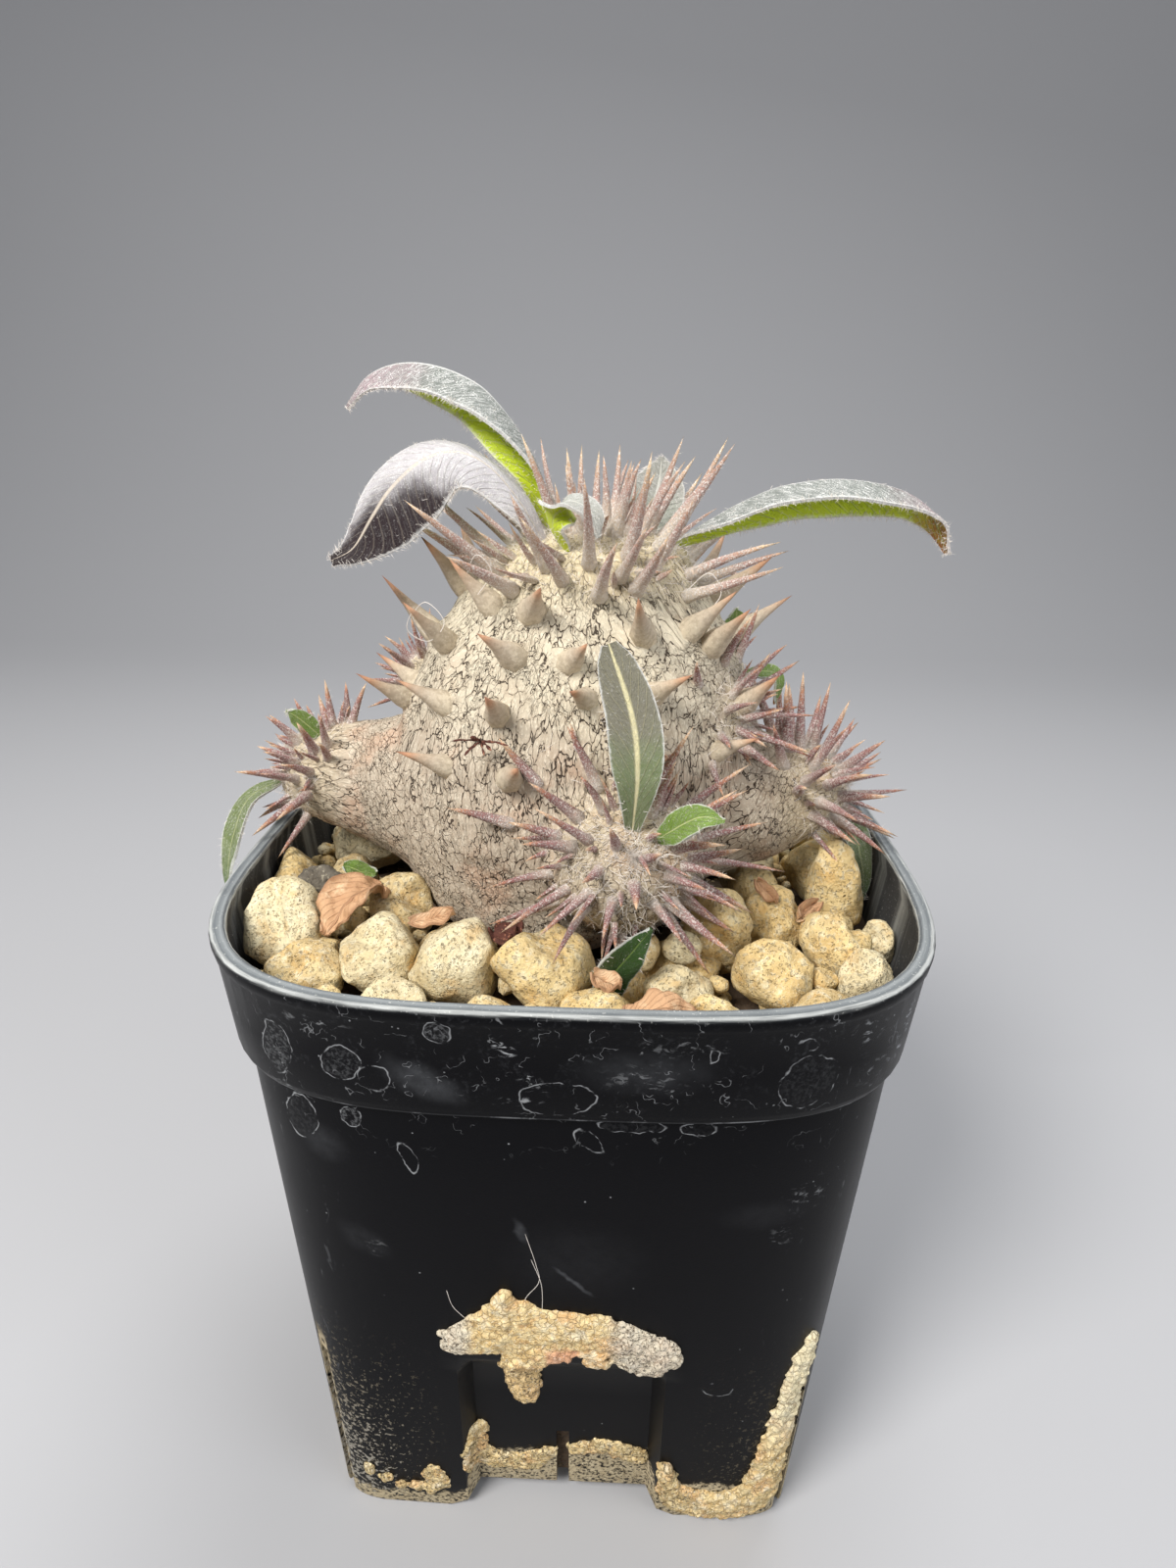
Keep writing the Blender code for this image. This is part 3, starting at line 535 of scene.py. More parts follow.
print("noise at the origin is", round(lumps(Vector((0.3, 0.2, 0.1)), 3), 3))

# %% [markdown]
# ## Pot: shape
#
# The pot is one thin injection-moulded shell: a square whose corners get rounder towards the
# rim, a collar above a small step, a rolled rim, and four feet between recessed panels. It
# could be a box with bevels, but the changing corner is easier as outlines at many heights,
# each a superellipse, lofted down the outside and back up the inside.

# %% The pot's measures
POT_HEIGHT = 94.5 * MM
RIM_HALF = 45 * MM
COLLAR_LOW = 80.4 * MM
SHOULDER = 79.4 * MM
COLLAR_HALF = 43.2 * MM
SHOULDER_HALF = 42.2 * MM
BASE_HALF = 34 * MM
RIM_CORNER = 27.2 * MM
BASE_CORNER = 7.5 * MM
WALL = 1 * MM
FLOOR_TOP = 4 * MM
FLOOR_UNDER = 3 * MM
PANEL_HALF = 12.2 * MM
PANEL_EDGE = 13.8 * MM
FOOT_EDGE = 16.4 * MM
PANEL_DEPTH = 2.5 * MM
PANEL_TOP = 36 * MM
PANEL_BLEND = 5 * MM
SKIRT_LIFT = 2.4 * MM
CORNER_STEPS = 16
print("the pot is", round(POT_HEIGHT / MM, 1), "mm tall")

# %% The pot's outline at any height
def half_width(height):
    """Half the width of the pot's outside at a height."""
    if height <= SHOULDER:
        return between(BASE_HALF, SHOULDER_HALF, height / SHOULDER)
    if height < COLLAR_LOW:
        return between(SHOULDER_HALF, COLLAR_HALF, (height - SHOULDER) / (COLLAR_LOW - SHOULDER))
    return between(COLLAR_HALF, RIM_HALF, (height - COLLAR_LOW) / (POT_HEIGHT - COLLAR_LOW))


def wall_outline(height, inset=0.0, lifted=False):
    """The pot's outline at a height, with a recessed panel in each side near the ground."""
    half = half_width(height) - inset
    corner = between(BASE_CORNER, RIM_CORNER, height / POT_HEIGHT) - inset
    power = -math.log(2) / math.log(1 - (1 - math.sqrt(0.5)) * corner / half)
    panel_half = PANEL_HALF + 0.8 * max(inset, 0)
    panel_edge = PANEL_EDGE + 0.8 * max(inset, 0)
    stops = (-FOOT_EDGE, -panel_edge, -panel_half, -panel_half / 2, 0, panel_half / 2,
             panel_half, panel_edge, FOOT_EDGE)
    angles = [math.atan2(stop, half) for stop in stops]
    start = math.atan2(half - corner, half)
    sweep = math.pi / 2 - 2 * start
    angles += [start + sweep * part / CORNER_STEPS for part in range(CORNER_STEPS + 1)]
    recess = PANEL_DEPTH * ease((PANEL_TOP - height) / PANEL_BLEND)
    points = []
    for quarter in range(4):
        turn = Matrix.Rotation(quarter * math.pi / 2, 3, "Z")
        for place, angle in enumerate(angles):
            reach = (abs(math.cos(angle)) ** power + abs(math.sin(angle)) ** power) ** (-1 / power)
            point = Vector((math.sin(angle), -math.cos(angle), 0)) * half * reach
            in_panel = 2 <= place <= 6
            at_edge = place in (1, 7)
            point.y += recess * in_panel
            lift = SKIRT_LIFT * (in_panel + at_edge / 2) if lifted else 0
            points.append(turn @ point + UP * (height + lift))
    return points


print("an outline has", len(wall_outline(0)), "points")

# %% Loft the shell and cut its drainage slots
# rows of the shell's outline, each a height and an inset in millimetres
FOOT_ROWS = ((0, 0.9), (0, 0.3), (0.25, 0.08), (0.7, 0))
COLLAR_ROWS = ((78.9, 0), (79.4, 0.05), (79.65, -0.5), (80.4, 0.1), (80.8, 0), (86.4, 0), (92.3, 0),
               (92.8, -0.24), (93.3, -0.3), (93.9, -0.3), (94.3, -0.18))
RIM_ROWS = ((94.5, 0.1), (94.38, 0.875), (94.5, 1.4), (94.3, 1.67))
INSIDE_ROWS = ((93.8, 1.75), (91.5, 1), (80.4, 1), (79.4, 1))
# how far across the rim the last two rows outside and the four on top lie
BAND_SHARES = [0.06, 0.14, 0.22, 0.5, 0.8, 0.92]
SLOT_WIDTH = 1.8 * MM
SLOT_DEPTH = 8 * MM
MIDDLE_SLOT_TOP = 16 * MM
CORNER_SLOT_TOP = 31 * MM
LOW_HEIGHTS = [height * MM for height in (6, 16, 25, 31, 32.2, 33.5, 34.8, 36, 47, 58, 69)]


def slot_cutter(top, distance, angle):
    below = 1 * MM
    bm = bmesh.new()
    place = Matrix.Rotation(angle, 4, "Z") @ Matrix.Translation((0, -distance, (top - below) / 2))
    size = Matrix.Diagonal((SLOT_WIDTH, SLOT_DEPTH, top + below, 1))
    bmesh.ops.create_cube(bm, size=1, matrix=place @ size)
    return add_piece("slot cutter", bm, [], None)


def outlines(rows, lifted=False):
    return [wall_outline(height * MM, inset * MM, lifted) for height, inset in rows]


def pot_shell():
    outside = [wall_outline(FLOOR_UNDER, WALL)] + outlines(FOOT_ROWS, lifted=True)
    outside += [wall_outline(height) for height in LOW_HEIGHTS] + outlines(COLLAR_ROWS)
    rim = outlines(RIM_ROWS)
    inside = outlines(INSIDE_ROWS) + [wall_outline(height, WALL) for height in reversed(LOW_HEIGHTS)]
    inside.append(wall_outline(FLOOR_TOP, WALL))
    bm = marked_bmesh("inner", "band")
    inner, band = bm.verts.layers.float["inner"], bm.verts.layers.float["band"]
    rings = loft(bm, outside + rim + inside)
    shares = [0] * (len(outside) - 2) + BAND_SHARES + [1] * len(inside)
    for place, corners in enumerate(rings):
        for corner in corners:
            corner[inner] = float(place >= len(outside) + len(rim))
            corner[band] = shares[place]
    bmesh.ops.recalc_face_normals(bm, faces=bm.faces)
    cutters = bpy.data.collections.new("slots")
    middle = BASE_HALF - PANEL_DEPTH
    corner = math.sqrt(2) * (BASE_HALF - BASE_CORNER) + BASE_CORNER
    for quarter in range(4):
        angle = quarter * math.pi / 2
        cutters.objects.link(slot_cutter(MIDDLE_SLOT_TOP, middle, angle))
        cutters.objects.link(slot_cutter(CORNER_SLOT_TOP, corner, angle + math.pi / 4))
    bm = applied(bm, ("BOOLEAN", {"operation": "DIFFERENCE", "operand_type": "COLLECTION",
                                  "collection": cutters, "solver": "EXACT"}))
    for cutter in list(cutters.objects):
        bpy.data.objects.remove(cutter)
    bpy.data.collections.remove(cutters)
    return bm


shell = pot_shell()
print("the pot's shell has", len(shell.faces), "faces")

# %% [markdown]
# ## Pot: worn black plastic
#
# Real nursery plastic is a satin black that shows everything: a film of dust, dried drops with
# pale outlines, fine scratches, a rim rubbed grey, and lime that crept out of the slots. Each
# is a mask built from the place on the pot, and each mask lightens the colour and dulls the
# gloss. An image would be quicker, but a mask stays sharp and belongs to no photograph.

# %% List the drops, scuffs and smudges of the front
# dried drops on the front: across, height, half width, half height, lean in degrees, film inside
DROPS = [
    (-31.2, 85.8, 1.9, 3.7, 4, 0.5), (-23.4, 86, 2.1, 2.5, 30, 0.3), (-19.8, 84.6, 1.7, 1.8, 0, 0.0),
    (-12.5, 91.6, 1.5, 1.5, 0, 0.6), (-23.6, 77.2, 1.35, 1.4, 0, 0.6), (-17.3, 72, 0.85, 2.4, -14, 0.0),
    (-0.4, 83, 4.1, 2.3, 0, 0.0), (3.2, 76, 1.0, 2.0, -38, 0.0), (7.6, 78.4, 3.7, 0.9, 2, 0.1),
    (15, 78.2, 1.9, 1.1, 0, 0.05), (26.4, 85, 3.1, 3.7, 12, 0.1), (-30.2, 75, 2.1, 3.4, 12, 0.12),
    (20.6, 31, 2.0, 1.4, 8, 0.0), (25.6, 90, 1.1, 0.7, 20, 0.0), (15.8, 89.4, 0.5, 0.9, 0, 0.0),
]
# scuffed places on the front: across, height, half width, half height, lean in degrees, strength
SCUFFS = [
    (-5.6, 89.6, 1.0, 2.2, -30, 1.0), (-3.2, 85.6, 2.6, 0.9, 40, 0.8), (-26, 91, 4.2, 0.9, 0, 0.5),
    (-4.4, 82.4, 3.0, 0.7, -8, 0.7), (32.6, 90.4, 2.2, 1.6, 0, 0.9), (38.4, 87.6, 1.2, 5.5, 8, 1.0),
    (-30.2, 79.4, 0.9, 2.6, -10, 0.9), (13, 90.6, 6, 1.4, 0, 0.3), (35, 84, 3.4, 2.2, 0, 0.4),
    (9, 86, 5, 2.4, 0, 0.25), (28.6, 66, 2.6, 3, 40, 0.5), (26.4, 60, 2, 2, 0, 0.3),
    (-22.4, 56, 1.6, 1.6, 40, 0.3),
]
# dim smudges and streaks on the front, listed in the same way
SMUDGES = [
    (-14.6, 84.6, 5.2, 2.4, 30, 0.35), (9, 87, 8, 3.4, 0, 0.14), (-27.5, 72, 3.2, 3, 0, 0.14),
    (-24, 57, 4, 2.4, 30, 0.1), (1.4, 52.2, 3.9, 0.42, 46, 0.5), (-4.6, 60.6, 0.7, 2.4, -12, 0.3),
    (24, 64, 6, 2.4, 0, 0.06), (2, 56, 9, 7, 0, 0.05),
]
print(len(DROPS), "drops,", len(SCUFFS), "scuffs and", len(SMUDGES), "smudges listed")

# %% Masks for the drops and the listed spots
def away_from(r, place, across, height, wide, tall, lean):
    """How far a place is from a spot on the front wall: 1 on the ellipse with these half sizes."""
    values = {"Vector": place, "Location": mm(across + 0.8, 0, height + 0.8),
              "Rotation": (0, math.radians(lean), 0), "Scale": (wide * MM, 1, tall * MM)}
    spot = r.node("Mapping", {"vector_type": "TEXTURE"}, values)
    return r.node("VectorMath", {"operation": "LENGTH"}, {0: spot}, "Value")


def listed_spots(r, place, rows):
    """The strongest of the listed spots at each place; each fades out from its middle."""
    strongest = 0.0
    for *spot, strength in rows:
        strongest = (r.fade(away_from(r, place, *spot), 0.2, 1.2) * strength).most(strongest)
    return strongest


def dried_drops(r, place, facing):
    """Dried drops on the front: pale outlines that come and go, and faint films inside them."""
    rings, films = 0.0, 0.0
    for across, height, wide, tall, lean, film in DROPS:
        away = away_from(r, place, across, height, wide, tall, lean)
        ring = r.fade(abs(away - 1), 0.0, 0.14 / math.sqrt(wide * tall))
        rings = ring.most(rings)
        if film:
            films = (r.fade(away, 0.8, 1.0) * film).most(films)
    rings = rings * r.patches(1.9, 3, 0.4, 0.58) * facing * 0.56
    films = films * r.patches(0.45, 3, 0.42, 0.66) * facing * 0.28
    return rings, films


def drops_elsewhere(r, facing, near_top):
    """The same at random on the other three sides."""
    cell_place = r.bend(2.4, 1.8)
    cells = r.cells(6.5, "F1", cell_place)
    chosen = r.step(r.cells(6.5, "F1", cell_place, "Color"), 0.56, 0.6)
    rings = r.fade(abs(cells - 0.3), 0.01, 0.03) * r.patches(1.6, 3, 0.42, 0.58) * 0.6
    return (rings + r.fade(cells, 0.2, 0.3) * 0.1) * chosen * near_top * (1 - facing) * 0.6


print("the front's masks take", len(DROPS) + len(SCUFFS) + len(SMUDGES), "listed spots")

# %% Masks for the lime and the colour of the rim
def lime_masks(r, x, y, z):
    """Speckle creeping up from the corner feet, a line along each corner slot, and a fuzzy hem."""
    corner = (abs(x).least(abs(y)) - 15) / 17
    low = r.fade(z + r.noise(9, 3) * 14, 18, 50)
    front = r.fade(y, -30, -10)
    left = r.fade(x, -20, -6)
    thin = 0.6 - 0.14 * r.step(corner, 0.35, 1.0) * low
    speckle = r.step(r.noise(0.6, 4), thin, thin + 0.08) * r.step(corner, 0.0, 0.6) * low
    speckle = speckle * (0.16 + 0.6 * front * left)
    beside_slot = abs(abs(x) - abs(y)) / 1.414
    line = r.fade(beside_slot + r.noise(1.6, 3), 1.5, 2.0) * r.fade(z, 31, 36)
    panel = r.fade(abs(x).least(abs(y)), 12.5, 14.5)
    right = r.step(x, 14, 18) * front
    top = 2.4 + 7.6 * panel * (0.4 + 0.6 * front) + 5.6 * right
    hem = r.fade(z + (r.noise(2.4, 4) - 0.5) * 7, top, top + 1.4) * r.patches(0.55, 4, 0.36, 0.52)
    lime = speckle.most(line * r.patches(1.2, 3, 0.36, 0.55)).most(hem)
    return lime, speckle, hem


def rim_colour(r, streak, band, cloud):
    """Rubbed grey, streaked along the rim's length, with paler edges."""
    tone = r.ramp(band + (streak - 0.5) * 0.3, (0.08, (34, 36, 39)), (0.2, (176, 178, 176)),
                  (0.34, (104, 109, 112)), (0.62, (138, 142, 143)), (0.84, (88, 92, 95)),
                  (0.95, (172, 174, 170)), (1.0, (66, 68, 70)))
    tone = r.patched(tone, 0.3, 2, 0.64, 0.72, 0.6, (206, 206, 200))
    return r.mix(r.step(cloud, 0.45, 0.7) * 0.4, tone, (58, 62, 66))


LIME_TONES = ((158, 138, 102), (228, 214, 182))
print("lime runs from", *LIME_TONES)

# %% Mix the plastic from its masks
def plastic_finish():
    r = Recipe("worn black plastic", Specular_IOR_Level=0.07)
    x, y, z = r.axis("X"), r.axis("Y"), r.axis("Z")
    inner, band = r.mark("inner"), r.mark("band")
    cloud = r.noise(16, 4)
    near_top = r.step(z, 70, 84)
    facing = r.fade(y, -33, -28)
    wobbly = r.bend(2.6, 1.6)
    rings, films = dried_drops(r, wobbly, facing)
    elsewhere = drops_elsewhere(r, facing, near_top)

    # scuffs: short bright threads inside listed patches, and curly tide lines over the collar
    sideways = r.node("VectorMath", {"operation": "MULTIPLY"}, {0: r.bend(3, 2.6), 1: (0.4, 0.4, 1)})
    threads = r.step(r.noise(0.6, 4, sideways), 0.55, 0.68)
    scuff = threads * listed_spots(r, wobbly, SCUFFS) * facing
    smudged = listed_spots(r, wobbly, SMUDGES) * r.noise(1.8, 4) * facing
    tide = r.fade(abs(r.noise(5, 3) - 0.5), 0.002, 0.006)
    tide = tide * r.patches(2.6, 3, 0.5, 0.6) * near_top * 0.3

    # dust, scratches, grains, and the pale line of the collar's step
    dust = r.patches(0.6, 4, 0.5, 0.72) * r.patches(4, 3, 0.45, 0.66) * r.step(z, 74, 92) * 0.1
    lengthways = r.node("VectorMath", {"operation": "MULTIPLY"}, {0: r.bend(9, 5), 1: (1, 1, 0.12)})
    scratch = r.step(r.noise(0.7, 3, lengthways), 0.66, 0.72) * r.step(abs(x), 24, 34) * 0.5
    grains = r.fade(r.cells(2.6, "F1"), 0.03, 0.06) * r.patches(5, 2, 0.52, 0.6) * 0.5
    seam = r.fade(abs(z - 79.75), 0.04, 0.16) * (0.1 + 0.7 * r.patches(5, 4, 0.46, 0.6))

    lime, speckle, hem = lime_masks(r, x, y, z)
    angle = y.maths("ARCTAN2", y, x)
    along_rim = r.node("CombineXYZ", {}, {"X": band * 0.006, "Y": angle * 0.004, "Z": 0.0})
    streak = r.noise(0.5, 3, along_rim)
    rim = r.step(band, 0.04, 0.16)

    marks = rings.most(elsewhere).most(tide).most(scuff * 0.85).most(seam * 0.4).most(films)
    base = r.mix(cloud, (5, 5, 7), (9, 9, 12))
    base = r.mix((smudged + dust).least(1.0), base, (120, 122, 126))
    base = r.mix(scratch * 0.4, base, (140, 142, 146))
    base = r.mix(marks.most(grains).least(0.95), base, (176, 178, 180))
    base = r.mix(rim, base, rim_colour(r, streak, band, cloud))
    lime_tone = r.mix(r.noise(1.6, 5), *LIME_TONES)
    lime_tone = r.mix(speckle * (1 - hem), lime_tone, (176, 174, 168))
    base = r.mix(lime * 0.85, base, lime_tone)
    wall = r.mix(r.noise(3, 5), (40, 38, 36), (78, 73, 67))
    base = r.mix(inner * (1 - rim * 0.6), base, wall)
    rough = 0.28 + 0.14 * cloud + smudged * 0.6 + 0.4 * marks + 0.2 * rim + 0.4 * lime + 0.3 * inner
    relief = r.bump(lime * r.noise(0.4, 4), 0.3)
    relief = r.bump(r.noise(0.22, 2) + scratch * -0.6, 0.01, relief)
    relief = r.bump(streak * rim, 0.06, relief)
    return r.finish(Base_Color=base, Roughness=rough.least(1.0), Normal=relief)


black_plastic = plastic_finish()
pot = add_piece("pot_shell", shell, [black_plastic], "black_plastic", ["pot"], angle=35)
print("pot_shell stands", round(max(vertex.co.z for vertex in pot.data.vertices) * 1000, 1), "mm tall")

# %% [markdown]
# ## Soil
#
# Almost nothing of the soil shows between the stones, so its solid keeps its shape and only
# gets a surface: dark, damp bark mix with pale grains of grit.

# %% Finish the soil
def soil_finish():
    r = Recipe("potting soil", Roughness=0.95)
    crumb = r.noise(1.6, 5)
    grit = r.step(r.cells(1.4, "F1", r.bend(1, 0.8)), 0.16, 0.3)
    tone = r.mix(crumb, (38, 29, 22), (104, 84, 64))
    tone = r.mix((1 - grit) * r.patches(3, 2, 0.5, 0.6), tone, (190, 170, 130))
    return r.finish(Base_Color=tone, Normal=r.bump(crumb + (1 - grit) * 0.4, 0.8))


nodes["soil"].data.materials.clear()
nodes["soil"].data.materials.append(soil_finish())

# %% [markdown]
# ## Trunk and heads: shape
#
# The swollen stem is a trunk with five side branches that melt into it. Separate tubes would
# show creases where they meet, and sculpting is not repeatable, so the tubes are lofted,
# melted together by a voxel remesh and smoothed. The numbers are the plant's own: each row of
# the trunk is a height, a centre and two half widths.

# %% Loft the trunk and its branches
TRUNK = [
    (83.8, -3, 1, 17, 17), (88, -3, 1, 20.5, 20), (93, -2.5, 1.5, 23, 21.5), (99, -2, 2, 25, 23),
    (105, -1, 2, 25.5, 23.5), (111, -0.3, 2, 25, 22.5), (117, 0, 2, 23, 20.5),
    (123, 0.3, 2, 20.6, 18.2), (128, 0.5, 2, 16.8, 15.4), (132, 1, 2, 13.8, 12.9),
    (135, 1.6, 2, 11.6, 11), (136.8, 1.6, 2, 7, 6.8),
]
LEFT_ARM = [(-8, 1, 99, 14), (-20, 1.5, 100, 12.2), (-29, 2, 101.3, 9.4), (-36, 2, 102, 7.2),
            (-40.5, 2, 102, 5.6), (-43, 2, 102, 3.2)]
RIGHT_ARM = [(8, 0, 100, 14), (18, -1, 101, 11.4), (26, -2, 102, 8.8), (31, -2.5, 103, 6.8),
             (34.5, -3, 104.5, 4.6), (36.3, -3, 105.2, 2.2)]
FRONT_HEAD = [(3, -6, 99, 13.5), (5.2, -15, 99.5, 11.4), (6.4, -22, 100.4, 9), (7, -26.5, 101.4, 6.2),
              (7.3, -29, 102, 3)]
UPPER_RIGHT_HEAD = [(12, -2, 111, 7), (17.5, -5, 113.4, 5.2), (20.3, -6.5, 115.2, 3.6),
                    (21.6, -7, 116.2, 1.8)]
LEFT_REAR_HEAD = [(-10, 10, 104, 11), (-19, 17, 108.5, 7.4), (-25, 22, 111.4, 5), (-28, 24, 113, 2.6)]
LIMBS = (LEFT_ARM, RIGHT_ARM, FRONT_HEAD, UPPER_RIGHT_HEAD, LEFT_REAR_HEAD)


def lofted_stem():
    bm = bmesh.new()
    loft(bm, [disc(mm(x, y, z), UP, wide * MM, 40, deep * MM) for z, x, y, wide, deep in TRUNK])
    for stations in LIMBS:
        centres = [mm(*station[:3]) for station in stations]
        rings = []
        for place, station in enumerate(stations):
            ahead = centres[min(place + 1, len(centres) - 1)] - centres[max(place - 1, 0)]
            rings.append(disc(centres[place], ahead, station[3] * MM, 20))
        loft(bm, rings)
    bmesh.ops.recalc_face_normals(bm, faces=bm.faces)
    return bm


COARSE_VOXEL, FINE_VOXEL = 1.1, 0.5  # millimetres


def melted_stem(voxel, smoothing):
    return melted(lofted_stem(), voxel * MM, smoothing)


coarse_stem = melted_stem(COARSE_VOXEL, 10)
print("the coarse stem has", len(coarse_stem.faces), "faces")

# %% [markdown]
# ## Spines: a plan
#
# A pachypodium carries its spines in pairs on old wood and in dense fans round each growing
# tip. Placing a few hundred by hand would never look even, so a rule does it: the golden angle
# spreads them round a tip, rays find the skin, and a fixed seed keeps the plant the same each
# time. Spines that would run into a leaf or a stone are left out.

# %% List the old pairs and the growing tips
# old pairs on the trunk: bearing in degrees, height, length
TRUNK_PAIRS = [
    (-104, 123.5, 7), (-76, 119.5, 7), (-128, 117, 8), (-121, 110, 7), (-52, 126, 10),
    (-160, 123.5, 10), (-124, 128.5, 9), (-22, 124, 11), (-14, 116.5, 9), (-52, 112, 6),
    (-176, 115, 9), (150, 121, 9), (120, 126, 10), (85, 122, 9), (60, 128, 10), (40, 120, 9),
    (14, 128, 10), (95, 110, 8), (50, 107, 8), (170, 129, 10),
]
# tips: centre, axis, search reach, spines, spread, length, width, lift, droop, colour tone
TIPS = [
    ((1.6, 2, 128), (0.05, -0.05, 1), 20, 60, 80, 15.5, 1.6, 0.3, 0.0, 1.0),
    ((-36, 2, 102), (-1, -0.05, 0.5), 16, 34, 88, 8.2, 1.4, 0.2, 0.06, 0.0),
    ((30, -2.5, 102.5), (1, -0.1, 0.45), 16, 38, 92, 12, 1.5, 0.15, 0.06, 0.0),
    ((6.6, -21, 101), (0.1, -1, 0.42), 18, 50, 98, 10, 1.4, 0.1, 0.05, 0.0),
    ((19, -5.5, 114), (0.55, -0.7, 0.75), 10, 22, 80, 9, 1.3, 0.05, 0.0, 0.1),
    ((-25.5, 22, 111), (-0.7, 0.5, 0.7), 12, 20, 80, 8.5, 1.3, 0.05, 0.0, 0.1),
]
PAIR_HALF_ANGLE = 0.19  # radians from the middle of a pair
OLD_SPINE_WIDTH = 3.5 * MM
print(len(TIPS), "growing tips, and", len(TRUNK_PAIRS), "old pairs on the trunk")

# %% Plan where every spine stands
def towards_tip(tree, tip, tilt, bearing):
    """The way out of a tip at these angles, where a ray from there back to its centre meets the skin,
    and the way the skin faces."""
    centre, axis, reach = tip[:3]
    turn = Vector(axis).normalized().to_track_quat("Z", "Y").to_matrix()
    outward = turn @ (heading(bearing) * math.sin(tilt) + UP * math.cos(tilt))
    root, normal, _, _ = tree.ray_cast(mm(*centre) + outward * reach * MM, -outward, reach * MM)
    return outward, root, normal


def spine_plan(stem):
    """Root, direction, length, width, droop, whether it is old, and its tone, for every spine."""
    draw = random.Random(7)
    tree = BVHTree.FromBMesh(stem)
    plan = []
    for tip in TIPS:
        count, spread, longest, width, lift, droop, tone = tip[3:]
        for place in range(count):
            share = (place + 0.6) / count
            tilt = math.radians(spread) * math.sqrt(share)
            bearing = place * GOLDEN_ANGLE + draw.uniform(-0.2, 0.2)
            outward, root, normal = towards_tip(tree, tip, tilt, bearing)
            if root is None:
                continue
            jitter = push(draw, 0.16)
            lean = outward + normal * 0.3 + jitter + UP * lift
            length = longest * MM * draw.uniform(0.72, 1.05) * (0.7 + 0.3 * ease(share * 3))
            plan.append((root, lean, length, width * MM * draw.uniform(0.85, 1.15), droop, False, tone))
    for bearing, height, length in TRUNK_PAIRS:
        for side in (-1, 1):
            angle = math.radians(bearing) + side * PAIR_HALF_ANGLE
            outward = heading(angle)
            root, normal, _, _ = tree.ray_cast(mm(0.3, 2, height) + outward * 40 * MM, -outward, 40 * MM)
            across = outward.cross(UP) * -side
            lean = normal + across * draw.uniform(0.25, 0.6) + UP * draw.uniform(0, 0.35)
            reach = length * MM * draw.uniform(0.85, 1.15)
            plan.append((root, lean, reach, OLD_SPINE_WIDTH * draw.uniform(0.9, 1.1), 0.0, True, 0.5))
    return plan


wanted_spines = spine_plan(coarse_stem)
print(len(wanted_spines), "spines wanted")

# %% Leave out spines that hit a neighbour
neighbours = [tree_of(node) for name, node in nodes.items()
              if name.startswith(("leaf", "stone", "dry")) or name in ("pot", "soil")]


def stands_clear(root, direction, length, width, droop):
    direction = direction.normalized()
    for part in range(12):
        share = part / 11
        point = root + direction * length * share + Vector((0, 0, -droop * length)) * share**2
        room = width / 2 * (1 - 0.8 * share) + 1.3 * GAP
        if any(tree.find_nearest(point, room)[0] is not None for tree in neighbours):
            return False
    return True


plan = [entry for entry in wanted_spines if stands_clear(*entry[:5])]
print(len(plan), "spines planned,", sum(entry[5] for entry in plan), "of them old")

# %% [markdown]
# ## Trunk and heads: fine skin
#
# The same melt at half a millimetre gives a skin fine enough to swell under each old spine, as
# the real bark does. Bark splits along the way a stem grows, so each vertex also stores a
# stretched copy of its place: squeezed along the trunk high up, along each arm further out,
# and left alone low down, where the real bark breaks into a net.

# %% Lay out the bark's pattern
TRUNK_HALF, CROWN_HALF = 25, 12  # millimetres
NARROWS_FROM, NARROWS_OVER = 112, 23  # millimetres up the trunk
BARK_CENTRE = mm(0, 2, 101)
SQUEEZE = 0.25  # how much of its height the bark's pattern keeps high up
SQUEEZE_FADE = 5  # millimetres over which the squeeze sets in


def arm_share(point):
    """How much a point belongs to a branch, and that branch's direction."""
    def distance(stations):
        return min((mm(*station[:3]) - point).length for station in stations[1:])

    away = Vector((point.x, point.y - 2 * MM, 0)).length
    level = point.z / MM
    narrowed = max(level - NARROWS_FROM, 0) / NARROWS_OVER
    trunk_half = between(TRUNK_HALF, CROWN_HALF, narrowed) * MM
    share = ease((away / trunk_half - 0.92) / 0.4)
    nearest = min(LIMBS, key=distance)
    return share, (mm(*nearest[-1][:3]) - mm(*nearest[0][:3])).normalized()


def bark_place(point):
    """The point seen from the trunk's middle, squeezed along the way the bark has stretched."""
    share, along = arm_share(point)
    away = point - BARK_CENTRE
    level = away.z / MM + 3
    bow = math.log(1 + math.exp(-level / SQUEEZE_FADE)) - math.log(2)
    squeezed = SQUEEZE * level - (1 - SQUEEZE) * SQUEEZE_FADE * bow
    on_trunk = Vector((away.x, away.y, squeezed * MM))
    on_arm = away - along * away.dot(along) * 0.65
    return on_trunk.lerp(on_arm, share)


print("high up, the bark's pattern keeps", SQUEEZE, "of its height")

# %% Swell the skin under the spines
OLD_SWELLING = (3.4 * MM, 0.75 * MM)  # its reach and its height under an old spine
YOUNG_SWELLING = (1.3 * MM, 0.3 * MM)


